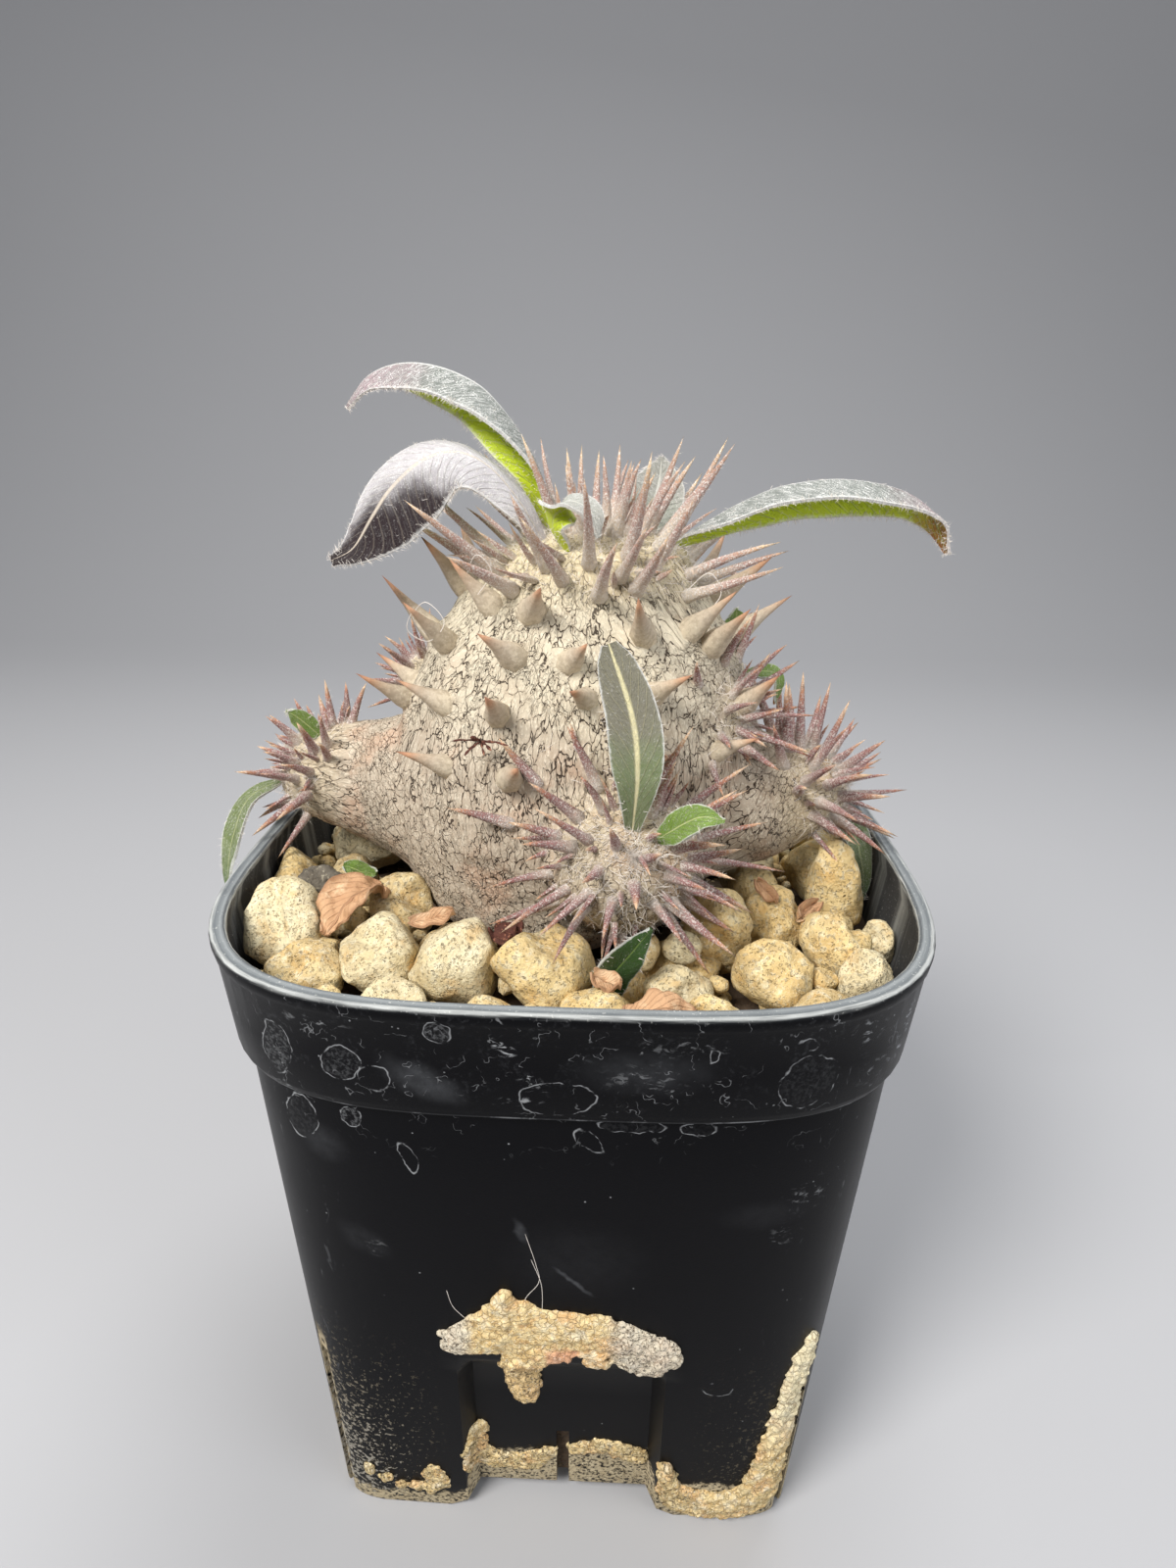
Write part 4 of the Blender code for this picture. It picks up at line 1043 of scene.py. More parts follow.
def fine_stem():
    bm = melted_stem(FINE_VOXEL, 34)
    layer = bm.verts.layers.float_vector.new("bark")
    wool = bm.verts.layers.float.new("wool")
    finder = KDTree(len(bm.verts))
    for place, vertex in enumerate(bm.verts):
        finder.insert(vertex.co, place)
    finder.balance()
    bm.verts.ensure_lookup_table()
    bm.normal_update()
    lifts = {}
    for root, _, _, width, _, old, _ in plan:
        reach, depth = OLD_SWELLING if old else YOUNG_SWELLING
        for _, place, away in finder.find_range(root, reach):
            lift = depth * (1 - ease(away / reach))
            lifts[place] = max(lifts.get(place, 0), lift)
    for place, lift in lifts.items():
        bm.verts[place].co += bm.verts[place].normal * lift
    roughen(bm, 7, 0.35, seed=2)
    roughen(bm, 1.6, 0.12, seed=5)
    for vertex in bm.verts:
        vertex[layer] = bark_place(vertex.co)
        crown = ease((vertex.co.z / MM - 127) / 8)
        tips = max(1 - (vertex.co - mm(*tip[0])).length / (tip[2] * 0.62 * MM) for tip in TIPS[1:])
        vertex[wool] = max(crown, ease(tips * 1.6))
    return bm


stem = fine_stem()
print("the fine skin has", len(stem.faces), "faces")

# %% [markdown]
# ## Bark finish
#
# The bark is a pale beige skin, split by dark fissures about a millimetre apart, with wool
# near each growing tip. The edges between the cells of a cell pattern make such a net. Two
# nets, one wide and one fine, and noise that opens and closes the cracks, keep it from
# looking like tiles.

# %% Mix the bark
def bark_finish():
    r = Recipe("pale bark", Roughness=0.88, Specular_IOR_Level=0.2)
    grain = r.mark("bark", "Vector")
    wool = r.mark("wool")
    bent = r.bend(1.2, 1.4, grain)
    wide = r.cells(1.25, "DISTANCE_TO_EDGE", bent)
    fine = r.cells(0.62, "DISTANCE_TO_EDGE", r.bend(0.5, 0.5, bent))
    patch = r.noise(6, 3)
    opening = 0.02 + 0.034 * r.patches(2.6, 3, 0.35, 0.7)
    broken = r.patches(2.4, 3, 0.36, 0.46)
    crack = r.fade(wide, opening * 0.25, opening) * broken
    worm = abs(r.noise(1.9, 2, bent) - 0.5)
    crack = crack.most(r.fade(worm, 0.002, 0.01) * r.patches(3, 2, 0.42, 0.52))
    hairline = r.fade(fine, 0.0, 0.07) * r.step(patch, 0.4, 0.6) * 0.34
    split = crack.most(hairline) * (1 - 0.5 * wool)
    fibre = r.noise(0.3, 3, r.bend(0.8, 0.4, grain))
    high = r.step(r.axis("Z") + (patch - 0.5) * 14, 108, 124)
    tone = r.mix(r.step(patch, 0.3, 0.7), (177, 163, 145), (198, 184, 164))
    tone = r.mix(high * 0.75, tone, (213, 203, 179))
    tone = r.mix(r.patches(9, 3, 0.5, 0.68) * 0.6 * (1 - high), tone, (192, 154, 128))
    tone = r.patched(tone, 3.4, 3, 0.54, 0.72, 0.6, (150, 134, 114))
    tone = r.mix(wool * 0.5, tone, (208, 190, 142))
    tone = r.mix(r.step(fibre, 0.5, 0.68) * 0.5, tone, (238, 229, 208))
    near = r.fade(wide, 0.0, 0.2)
    tone = r.mix(near * 0.2, tone, (150, 124, 98))
    tone = r.mix(split * 0.94, tone, (50, 39, 32))
    relief = r.bump(1 - split, 0.2)
    relief = r.bump(fibre + r.noise(0.6, 4) * 0.8, 0.16, relief)
    return r.finish(Base_Color=tone, Normal=relief)


bark = bark_finish()
skin = add_piece("caudex_skin", stem, [bark], "pale_bark", ["caudex"], angle=80)
skin_tree = tree_of(skin)
print("caudex_skin reaches", round(max(vertex.co.z for vertex in skin.data.vertices) * 1000, 1), "mm")

# %% [markdown]
# ## Spines: shape and finish
#
# A single unit spine is made once as a cone cut into rings, then bent and stretched into every
# place of the plan, which keeps a few hundred spines light. Each ring remembers how far along
# the spine it is, so the colour can run from woolly base to orange tip.

# %% A unit spine
def unit_spine(sides, cuts):
    """A cone of height 1 and radius 1, cut across at each of the given shares."""
    bm = bmesh.new()
    bmesh.ops.create_cone(bm, cap_ends=False, segments=sides, radius1=1, radius2=0, depth=1,
                          matrix=Matrix.Translation((0, 0, 0.5)))
    bmesh.ops.remove_doubles(bm, verts=bm.verts, dist=0.0001)
    for cut in cuts:
        bmesh.ops.bisect_plane(bm, geom=bm.verts[:] + bm.edges[:] + bm.faces[:],
                               plane_co=(0, 0, cut), plane_no=UP)
    mesh = bpy.data.meshes.new("unit spine")
    bm.to_mesh(mesh)
    bm.free()
    return mesh


spine_unit = unit_spine(7, (0.06, 0.18, 0.3, 0.45, 0.6, 0.8))
hair_unit = unit_spine(3, (0.5,))
print("the unit spine has", len(spine_unit.polygons), "faces")

# %% Set a spine or a hair in place
def level_at(stops, share):
    """The value at a share of the length, in a row of stops."""
    for (start, before), (end, after) in zip(stops, stops[1:]):
        if share <= end:
            return between(before, after, (share - start) / (end - start))
    return stops[-1][1]


# a spine's radius at shares of its length, as a share of its base's
YOUNG_PROFILE = ((0, 0.6), (0.06, 1.25), (0.18, 0.96), (0.45, 0.7), (0.8, 0.34), (1, 0.02))
OLD_PROFILE = ((0, 0.8), (0.18, 1.0), (0.3, 0.92), (0.45, 0.66), (0.6, 0.42), (0.8, 0.21), (1, 0.02))
OLD_SINK = 0.9 * MM  # how deep a spine's base stands in the skin
YOUNG_SINK = 0.6 * MM


def set_spine(bm, unit, root, direction, length, width, droop, marks, old=False, curl=None):
    """Copies the unit into the bmesh, bent from its root; marks are painted on its vertices."""
    start = len(bm.verts)
    bm.from_mesh(unit)
    bm.verts.ensure_lookup_table()
    along_layer = bm.verts.layers.float["along"]
    direction = direction.normalized()
    turn = direction.to_track_quat("Z", "Y").to_matrix()
    sink = OLD_SINK + width * 0.3 if old else YOUNG_SINK
    curl = curl or Vector()
    for place in range(start, len(bm.verts)):
        vertex = bm.verts[place]
        share = vertex.co.z
        flat = Vector((vertex.co.x, vertex.co.y, 0))
        radius = level_at(OLD_PROFILE if old else YOUNG_PROFILE, share) * width / 2
        spoke = flat.normalized() * radius if flat.length > 1e-6 else Vector()
        reach = between(-sink, length, share)
        bow = (Vector((0, 0, -droop)) + curl) * length * share**2
        vertex.co = root + direction * reach + turn @ spoke + bow
        vertex[along_layer] = share
        for name, value in marks.items():
            vertex[bm.verts.layers.float[name]] = value


def set_hair(bm, root, direction, length, width, curl):
    """A hair of these measures, in millimetres; it carries no marks of its own."""
    set_spine(bm, hair_unit, root, direction, length * MM, width * MM, 0.0, {}, curl=curl)


print("a young spine has", len(YOUNG_PROFILE), "widths")

# %% Set every planned spine, and small young ones between them
curl_draw = random.Random(31)
curls = [push(curl_draw, 0.09) for _ in plan]


def spine_bunch():
    draw = random.Random(32)
    bm = marked_bmesh("along", "old", "tone", "tint")
    for (root, direction, length, width, droop, old, tone), curl in zip(plan, curls):
        marks = {"old": float(old), "tone": tone, "tint": draw.random()}
        set_spine(bm, spine_unit, root, direction, length, width, droop, marks, old, curl)
    return bm


def young_bunch():
    """Short young spines that crowd the middle of each tip."""
    draw = random.Random(57)
    bm = marked_bmesh("along", "old", "tone", "tint")
    unit = unit_spine(5, (0.15, 0.35, 0.6, 0.8))
    for tip in TIPS:
        count, spread, longest, width, _, droop, tone = tip[3:]
        for _ in range(count):
            tilt = math.radians(spread) * 0.92 * math.sqrt(draw.random())
            outward, root, normal = towards_tip(skin_tree, tip, tilt, draw.uniform(0, 2 * math.pi))
            if root is None:
                continue
            lean = outward + normal * 0.4 + push(draw, 0.35)
            length = longest * draw.uniform(0.28, 0.55) * MM
            wide = width * 0.62 * MM
            if stands_clear(root, lean, length, wide, droop):
                marks = {"old": 0.0, "tone": tone, "tint": draw.random()}
                curl = push(draw, 0.15)
                set_spine(bm, unit, root, lean, length, wide, droop, marks, False, curl)
    return bm


bunch = spine_bunch()
print("the planned spines have", len(bunch.faces), "faces")

# %% Mix the spines' colours
def spine_finish():
    r = Recipe("spine", Roughness=0.75, Specular_IOR_Level=0.3)
    along, old, tone, tint = r.mark("along"), r.mark("old"), r.mark("tone"), r.mark("tint")
    fuzz = r.step(r.noise(0.2, 3, r.bend(0.9, 0.7)), 0.46, 0.58)
    where = along + (tint - 0.5) * 0.24
    young = r.ramp(where, (0, (216, 202, 186)), (0.18, (188, 162, 148)),
                   (0.36, (164, 126, 122)), (0.6, (152, 104, 100)), (0.78, (186, 130, 102)),
                   (0.94, (228, 190, 152)))
    crown = r.ramp(where, (0, (226, 214, 192)), (0.25, (208, 186, 166)),
                   (0.5, (184, 148, 138)), (0.75, (196, 154, 130)), (1, (232, 200, 158)))
    worn = r.ramp(along + (tint - 0.5) * 0.12, (0, (214, 200, 174)), (0.3, (200, 186, 162)),
                  (0.5, (188, 173, 152)), (0.7, (186, 163, 139)), (0.86, (186, 140, 108)),
                  (1, (146, 100, 76)))
    colour = r.mix(r.step(tone, 0.2, 0.9), young, crown)
    wool = fuzz * (0.85 - 0.6 * along) + 0.25 * r.fade(along, 0.05, 0.25)
    colour = r.mix((wool + tone * fuzz * 0.3).least(0.92), colour, (240, 232, 224))
    aged = r.mix(r.patches(0.7, 4, 0.42, 0.6) * 0.45 * (1 - along * 0.7), worn, (132, 115, 96))
    aged = r.mix(r.patches(0.3, 3, 0.56, 0.68) * 0.5 * (1 - along), aged, (232, 222, 198))
    colour = r.mix(old, colour, aged)
    relief = r.bump(fuzz * (1 - old) + r.noise(0.35, 4) * 0.8, 0.12)
    return r.finish(Base_Color=colour, Normal=relief)


spine_coat = spine_finish()
add_piece("caudex_spines", bunch, [spine_coat], "pale_bark", angle=70)
young = add_piece("caudex_young_spines", young_bunch(), [spine_coat], "pale_bark", angle=70)
print("caudex_young_spines has", len(young.data.polygons), "faces")

# %% [markdown]
# ## Wool on the growing tips
#
# Each growing tip wears pale wool that softens its outline. Hair curves would do it, but they
# do not belong in a reusable part, so the wool is a few thousand hair-thin slivers of mesh.

# %% Grow the wool
CROWN_WOOL, TIP_WOOL = 44, 26  # hairs for each spine of a tip
CROWN_DOWN, TIP_DOWN = 6, 4  # hairs for each millimetre of a young spine


def wool_bunch():
    draw = random.Random(83)
    bm = marked_bmesh("along")
    for tip in TIPS:
        count, spread, at_crown = tip[3], tip[4], tip[-1] == 1.0
        gather = 0.7 if at_crown else 1.1
        for _ in range(count * (CROWN_WOOL if at_crown else TIP_WOOL)):
            tilt = math.radians(spread) * 0.95 * draw.random() ** gather
            _, root, normal = towards_tip(skin_tree, tip, tilt, draw.uniform(0, 2 * math.pi))
            if root is None:
                continue
            lean = normal * 0.5 + push(draw, 1)
            if lean.dot(normal) < 0.1:
                lean += normal * (0.4 - lean.dot(normal))
            curl = push(draw, 0.5)
            set_hair(bm, root, lean, draw.uniform(0.8, 2.2), 0.09, curl)
    return bm


def spine_wool():
    """Short hairs that stand off the young spines."""
    draw = random.Random(84)
    bm = marked_bmesh("along")
    for (root, direction, length, width, droop, old, tone), bow in zip(plan, curls):
        if old:
            continue
        direction = direction.normalized()
        turn = direction.to_track_quat("Z", "Y").to_matrix()
        for _ in range(int(length / MM * (CROWN_DOWN if tone == 1.0 else TIP_DOWN))):
            share = 0.05 + 0.8 * draw.random() ** 1.5
            bearing = draw.uniform(0, 2 * math.pi)
            spoke = turn @ heading(bearing)
            middle = (root + direction * length * share
                      + (Vector((0, 0, -droop)) + bow) * length * share**2)
            place = middle + spoke * level_at(YOUNG_PROFILE, share) * width * 0.42
            lean = spoke + direction * draw.uniform(0.2, 1.4)
            curl = push(draw, 0.4)
            set_hair(bm, place, lean, draw.uniform(0.25, 0.65), 0.07, curl)
    return bm


def wool_finish():
    r = Recipe("wool", Roughness=0.9)
    tone = r.mix(r.noise(1.2, 2), (206, 196, 186), (238, 232, 224))
    return r.finish(Base_Color=tone)


wool_white = wool_finish()
wool = add_piece("caudex_wool", wool_bunch(), [wool_white], "pale_bark", angle=80)
down = add_piece("caudex_spine_wool", spine_wool(), [wool_white], "pale_bark", angle=80)
print("wool has", len(wool.data.polygons), "faces, and the spines' down", len(down.data.polygons))

# %% [markdown]
# ## Leaves: shape
#
# The leaves are narrow, thick and downy. Each is a grid laid along a smooth curve, wide in the
# middle and folded up along its midrib, then given a thin wall. Drawing each outline by hand
# would allow more freedom, but one rule with a few numbers for each leaf keeps them a family.

# %% List the leaves and their outlines
# name, path from the base, width, fold, the ways the upper side looks, look, solid's slot
LEAVES = [
    ("leaf_upper_left",
     [(-3.5, 3, 138.6), (-6.8, 3.3, 146), (-11.9, 4, 152.8), (-16.2, 4.5, 155.5), (-21, 5, 156.7),
      (-25, 5, 156.4), (-28.3, 5, 154.8), (-30.8, 5, 151.5)],
     10.5, -62, ((0, 0.7, 1), (0, 0.6, 1), (0, 0.25, 1), (0, -0.4, 1)), "woolly", "woolly_leaf"),
    ("leaf_lower_left",
     [(-5, -3, 136), (-8, -3.2, 140.8), (-11.6, -3.6, 144.8), (-15.4, -4.2, 146.4), (-19.4, -5, 145.4),
      (-23.2, -5.6, 142.2), (-25.7, -6, 138.8), (-28.3, -6, 135), (-31.2, -6, 133.4)],
     13, -26, ((0.25, -0.4, 0.9), (0.1, -0.5, 0.85), (-0.2, -0.8, 0.55), (-0.4, -0.9, 0.3)),
     "purple", "dark_leaf"),
    ("leaf_right",
     [(11.2, 1, 133.9), (16.8, 1.5, 138.7), (21.5, 2, 141.2), (26.1, 2, 142.9), (33.1, 2, 143.7),
      (40.7, 2.6, 142.5), (45.4, 3.4, 139.5), (48.2, 4, 134.8)],
     9.4, -62, ((0, 0.7, 1), (0, 0.7, 1), (0, 0.5, 1)), "woolly", "woolly_leaf"),
    ("leaf_crown_back", [(8.2, 8, 137.3), (9.8, 10, 142), (10.2, 10.5, 146)],
     8.5, 14, ((0, -1, 0.3), (0, -1, 0.2)), "silver", "woolly_leaf"),
    ("leaf_crown_middle",
     [(-1.5, -6.5, 134.5), (-3.2, -7.4, 138.4), (-1.8, -8, 141), (1, -8.6, 140.2), (2.3, -9.4, 137.2)],
     5.4, 10, ((0.6, 0.5, 0.3), (0.4, -0.2, 1), (0.3, -0.7, 0.7)), "silver", "woolly_leaf"),
    ("leaf_front_long", [(7.4, -26.6, 107.2), (7.4, -27.8, 114), (6.6, -27, 120.4), (3.9, -25, 127.8)],
     6.2, 10, ((0, -1, 0.35), (0, -1, 0.6)), "grey", "grey_green_leaf"),
    ("leaf_front_small", [(11.5, -28, 107.6), (14, -29.4, 109.6), (17, -30.2, 109.8)],
     3.9, 14, ((0.1, -0.8, 0.8), (0.3, -0.7, 0.6)), "fresh", "green_leaf"),
    ("leaf_left_tiny", [(-37, -0.2, 108.9), (-39.2, -1.2, 111.2), (-40.6, -2, 112.4)],
     3, 10, ((0, -0.8, 0.6), (0, -0.8, 0.6)), "fresh", "green_leaf"),
    ("leaf_left_hanging", [(-44.8, 0, 101.6), (-47.4, -1.5, 99), (-48.8, -5, 94.6), (-48.2, -9.5, 91),
                           (-47.4, -12, 88.6)],
     4.4, 12, ((-0.3, -0.4, 1), (-0.8, -0.8, 0.2)), "dull", "grey_green_leaf"),
    ("leaf_side_upper", [(24.2, 1.2, 119.6), (26.6, 1, 118.4), (26.6, 0, 114.6)],
     3, 14, ((0.2, -0.4, 1), (1, -0.4, 0.2)), "fresh", "green_leaf"),
    ("leaf_side_small", [(21.2, 8, 121.6), (21.6, 8.6, 123.8), (21.6, 9, 126)],
     3.4, 10, ((0, -1, 0.2), (0, -1, 0.2)), "fresh", "green_leaf"),
    ("leaf_right_hanging", [(37, 2.5, 98.5), (39.4, 1.6, 95.6), (40.8, -1, 91.4), (41, -4, 87)],
     5.6, 12, ((0.5, -0.6, 0.8), (0.7, -0.8, 0.2)), "dull", "green_leaf"),
    ("leaf_front_foot", [(4.4, -29.4, 83.8), (5.2, -30.2, 89.6), (7.2, -31.8, 93.8), (9.4, -32.4, 97.4)],
     4.6, 12, ((0.2, -1, 0.3), (0.2, -1, 0.3)), "deep", "grey_green_leaf"),
]
# how wide a leaf is, as a share of its full width, at shares of its length
LANCE = ((0, 0.14), (0.1, 0.5), (0.3, 0.9), (0.5, 1), (0.7, 0.86), (0.87, 0.48), (0.96, 0.16), (1, 0.04))
BROAD = ((0, 0.16), (0.15, 0.4), (0.35, 0.66), (0.55, 0.94), (0.66, 1), (0.8, 0.84), (0.9, 0.4),
         (0.95, 0.16), (1, 0.1))
STRAP = ((0, 0.26), (0.15, 0.5), (0.4, 0.95), (0.55, 1), (0.75, 0.88), (0.92, 0.66), (0.98, 0.4),
         (1, 0.16))
OUTLINES = {"purple": BROAD, "grey": STRAP}
print(len(LEAVES), "leaves listed; the longest is", max(LEAVES, key=lambda leaf: len(leaf[1]))[0])

# %% Even points along a smooth curve
CURVE_PARTS = 120


def path_point(stations, share):
    """A point on the smooth curve through the stations."""
    spans = len(stations) - 1
    place = min(int(share * spans), spans - 1)
    part = share * spans - place
    first, last = stations[place], stations[place + 1]
    before = stations[place - 1] if place else first * 2 - last
    after = stations[place + 2] if place + 2 <= spans else last * 2 - first
    return 0.5 * (first * 2 + (last - before) * part + (before * 2 - first * 5 + last * 4 - after) * part**2
                  + (first * 3 - before - last * 3 + after) * part**3)


def even_points(stations, count):
    """Points on the smooth curve through the stations, the same length apart."""
    trail = [path_point(stations, part / CURVE_PARTS) for part in range(CURVE_PARTS + 1)]
    gone = [0]
    for first, last in zip(trail, trail[1:]):
        gone.append(gone[-1] + (last - first).length)
    points = []
    place = 0
    for part in range(count + 1):
        wanted = gone[-1] * part / count
        while place < CURVE_PARTS - 1 and gone[place + 1] < wanted:
            place += 1
        share = (wanted - gone[place]) / (gone[place + 1] - gone[place])
        points.append(trail[place].lerp(trail[place + 1], share))
    return points


curve = even_points([mm(*station) for station in LEAVES[0][1]], CURVE_PARTS)
curve_length = sum((last - first).length for first, last in zip(curve, curve[1:]))
print("the first leaf's curve is", round(curve_length / MM, 1), "mm long")

# %% A leaf's blade along a path
UNFOLDED_BELOW = 0.7  # share of a leaf's full width
WIDTHS_AROUND = (-0.04, -0.02, 0, 0.02, 0.04)  # shares of the length
MIDRIB_HALF = 0.35 * MM


def blade(stations, width, fold, facing, rows, columns, seed, ripple=0.35, outline=LANCE):
    """A leaf's surface as a grid, each vertex marked with how far across and along it is."""
    fold = math.radians(fold)
    ways = [Vector(way).normalized() for way in facing]
    midrib = even_points(stations, rows)
    bm = bmesh.new()
    bmesh.ops.create_grid(bm, x_segments=columns, y_segments=rows, size=0.5)
    across_layer = bm.verts.layers.float.new("across")
    along_layer = bm.verts.layers.float.new("along")
    for vertex in bm.verts:
        across, share = 2 * vertex.co.x, vertex.co.y + 0.5
        row = round(share * rows)
        ahead = (midrib[min(row + 2, rows)] - midrib[max(row - 2, 0)]).normalized()
        turn = share * (len(ways) - 1)
        part = min(int(turn), len(ways) - 2)
        way = ways[part].lerp(ways[part + 1], turn - part)
        upper = (way - ahead * way.dot(ahead)).normalized()
        side = ahead.cross(upper)
        widths = [level_at(outline, min(max(share + shift, 0), 1)) for shift in WIDTHS_AROUND]
        belly = sum(widths) / len(widths)
        bend = fold * ease(belly / UNFOLDED_BELOW)
        reach = across * width * MM / 2 * belly
        wave = noise.noise(Vector((share * 5 + seed, across * 1.3, seed))) * ripple * MM * across * across
        rib = math.sqrt(reach * reach + MIDRIB_HALF**2) - MIDRIB_HALF
        rim_curl = -0.5 * MM * max(abs(across) - 0.8, 0) * belly
        rise = rib * math.sin(bend) + wave + rim_curl
        vertex.co = midrib[row] + side * reach * math.cos(bend) + upper * rise
        vertex[across_layer] = across
        vertex[along_layer] = share
    return bm


print("a leaf folds fully from", UNFOLDED_BELOW, "of its width")

# %% [markdown]
# ## Leaves: finish
#
# A leaf has two faces that look nothing alike: the upper side is dark and grey with down,
# sometimes flushed purple, and the underside is a clear green with a herringbone of veins. So
# each leaf gets two materials, and the wall's inner side takes the second one.

# %% Mix one face of a leaf
def veins_of(r, across, along, count, slant, rib=0.08):
    """A herringbone of side veins that leave the midrib at a slant, and the midrib itself."""
    run = along * count + abs(across) * slant + r.noise(2.5, 2) * 0.35
    saw = abs(run - run.maths("FLOOR", run) - 0.5) * 2
    side = r.step(saw, 0.72, 0.96) * r.step(abs(across), 0.03, 0.12) * r.fade(abs(across), 0.8, 1.0)
    middle = r.fade(abs(across), rib * 0.4, rib * 1.2)
    return side, middle


def leaf_face(name, dark, light, flush, down, vein, count=16, under=False, brown=None, flush_from=0.35,
              near=0.0, bald=0.0, rib=0.08):
    """One side of a leaf; down is how much of it the pale hairs cover, rib how wide its midrib is.

    The flush starts at a share of the length, earlier by near on the half towards the viewer, and
    is bare of hairs by the share bald.
    """
    r = Recipe(name, Roughness=0.5 if under else 0.6, Specular_IOR_Level=0.4)
    across, along = r.mark("across"), r.mark("along")
    side, middle = veins_of(r, across, along, count, -3.0, rib)
    flushed = r.step(along - across * near + (r.noise(4, 3) - 0.5) * 0.3, flush_from, flush_from + 0.3)
    tone = r.mix(r.noise(2.2, 5), dark, light)
    tone = r.mix(flushed, tone, flush)
    if brown:
        tone = r.mix(r.step(along + (r.noise(2, 3) - 0.5) * 0.25, 0.78, 0.96), tone, brown)
    tone = r.mix(side * (0.6 if under else 0.14), tone, vein)
    tone = r.mix(middle * (0.8 if under else 0.85), tone, vein)
    run = (along * 1.3 - abs(across) * 0.16) * 0.034
    strand = r.node("CombineXYZ", {}, {"X": run, "Y": across * 0.0008, "Z": 0.0})
    hairs = r.patches(0.16, 2, 0.52, 0.6)
    dots = r.fade(r.cells(0.55, "F1", r.bend(0.6, 0.4)), 0.1, 0.24)
    combed = r.step(r.noise(0.26, 2, strand), 0.5, 0.62)
    patchy = r.patches(1.5, 4, 0.34, 0.56)
    margin = r.step(abs(across) + (r.noise(0.5, 2) - 0.5) * 0.16, 0.9, 1.0)
    thick = down * (1 - flushed * bald)
    cover = hairs * thick * patchy * 0.8 + combed * thick * 0.5 + dots * (0.1 + thick * 0.5) + margin * 0.6
    tone = r.mix(cover.least(0.94), tone, (236, 235, 231))
    relief = r.bump(side * (-0.5 if under else 0.5) + middle * (1 if under else -0.6), 0.16)
    relief = r.bump(hairs + combed * 0.5, 0.06, relief)
    return r.finish(Base_Color=tone, Normal=relief)


# the underside's tones are lighter than the leaf's own green: painted light for a side that faces down into
# shade
BRIGHTENED_UNDERSIDE = leaf_face("green underside", (188, 214, 28), (224, 236, 66), (216, 220, 78), 0.02,
                      (216, 228, 132), count=20, under=True, brown=(176, 112, 52), flush_from=0.6)
print("the green underside has", len(BRIGHTENED_UNDERSIDE.node_tree.nodes), "nodes")

# %% Mix every kind of upper side
# look: the material's name, dark and light tone, flush, down, veins, and what else differs
LOOKS = {
    "woolly": ("woolly upper side", (88, 95, 88), (138, 142, 136), (158, 136, 140), 0.92, (216, 216, 210),
               {"flush_from": 0.6}),
    "purple": ("purple upper side", (174, 169, 172), (212, 207, 209), (32, 13, 19), 0.94, (214, 200, 182),
               {"count": 26, "flush_from": 0.5, "near": 0.26, "bald": 0.92, "rib": 0.05}),
    "silver": ("silver upper side", (128, 136, 122), (168, 172, 158), (170, 170, 160), 0.75, (222, 222, 210),
               {}),
    "grey": ("grey green upper side", (94, 110, 66), (136, 145, 106), (120, 116, 98), 0.14, (228, 218, 170),
             {"count": 10, "rib": 0.13}),
    "dull": ("dull green upper side", (78, 98, 40), (124, 136, 84), (76, 104, 50), 0.36, (170, 176, 122),
             {"count": 8, "flush_from": 0.7}),
    "fresh": ("fresh green upper side", (84, 122, 28), (132, 160, 60), (118, 146, 56), 0.26, (190, 202, 130),
              {"count": 8}),
    "deep": ("deep green upper side", (34, 66, 20), (60, 96, 34), (50, 84, 30), 0.06, (112, 142, 66),
             {"count": 9}),
}
FACES = {look: leaf_face(*values, **others) for look, (*values, others) in LOOKS.items()}
print(len(FACES), "kinds of leaf face")

# %% Grow a leaf's fringe of hairs
# hairs for each kind of leaf: along its margins for a millimetre, over its face for a square one
HAIRS = {"woolly": (24, 2.4), "purple": (24, 1.8), "silver": (20, 1.8), "grey": (3, 0.05)}
FEW_HAIRS = (8, 0.3)
FRINGE_ROWS = 60


def fringe(bm, stations, width, fold, facing, seed, outline, margin_hairs, thickly):
    """Pale hairs along both margins and scattered over the upper side."""
    draw = random.Random(seed)
    sample = blade(stations, width, fold, facing, FRINGE_ROWS, 12, seed, outline=outline)
    sample.normal_update()
    across_layer, along_layer = sample.verts.layers.float["across"], sample.verts.layers.float["along"]
    midrib = even_points(stations, FRINGE_ROWS)
    length = sum((last - first).length for first, last in zip(midrib, midrib[1:]))
    margin = [vertex for vertex in sample.verts if abs(vertex[across_layer]) > 0.95]
    field = [vertex for vertex in sample.verts if abs(vertex[across_layer]) < 0.95]
    spots = []
    for _ in range(int(length / MM * margin_hairs)):
        vertex = draw.choice(margin)
        inner = midrib[round(vertex[along_layer] * FRINGE_ROWS)]
        out = (vertex.co - inner).normalized()
        spots.append((vertex, out * 1.4 + push(draw, 0.8), 0.25, 0.7))
    for _ in range(int(length / MM * width * thickly)):
        vertex = draw.choice(field)
        lean = vertex.normal * 0.8 + push(draw, 0.9)
        spots.append((vertex, lean, 0.15, 0.4))
    for vertex, lean, short, long in spots:
        slide = push(draw, 0.25) * MM
        curl = push(draw, 0.3)
        set_hair(bm, vertex.co + slide, lean, draw.uniform(short, long), 0.08, curl)
    sample.free()


print("a woolly margin has", HAIRS["woolly"][0], "hairs a millimetre")

# %% Build the leaves
BLADE_THICKNESS = 0.4 * MM
ROOT_DEPTH = 0.4  # millimetres that a leaf's base stands in the skin


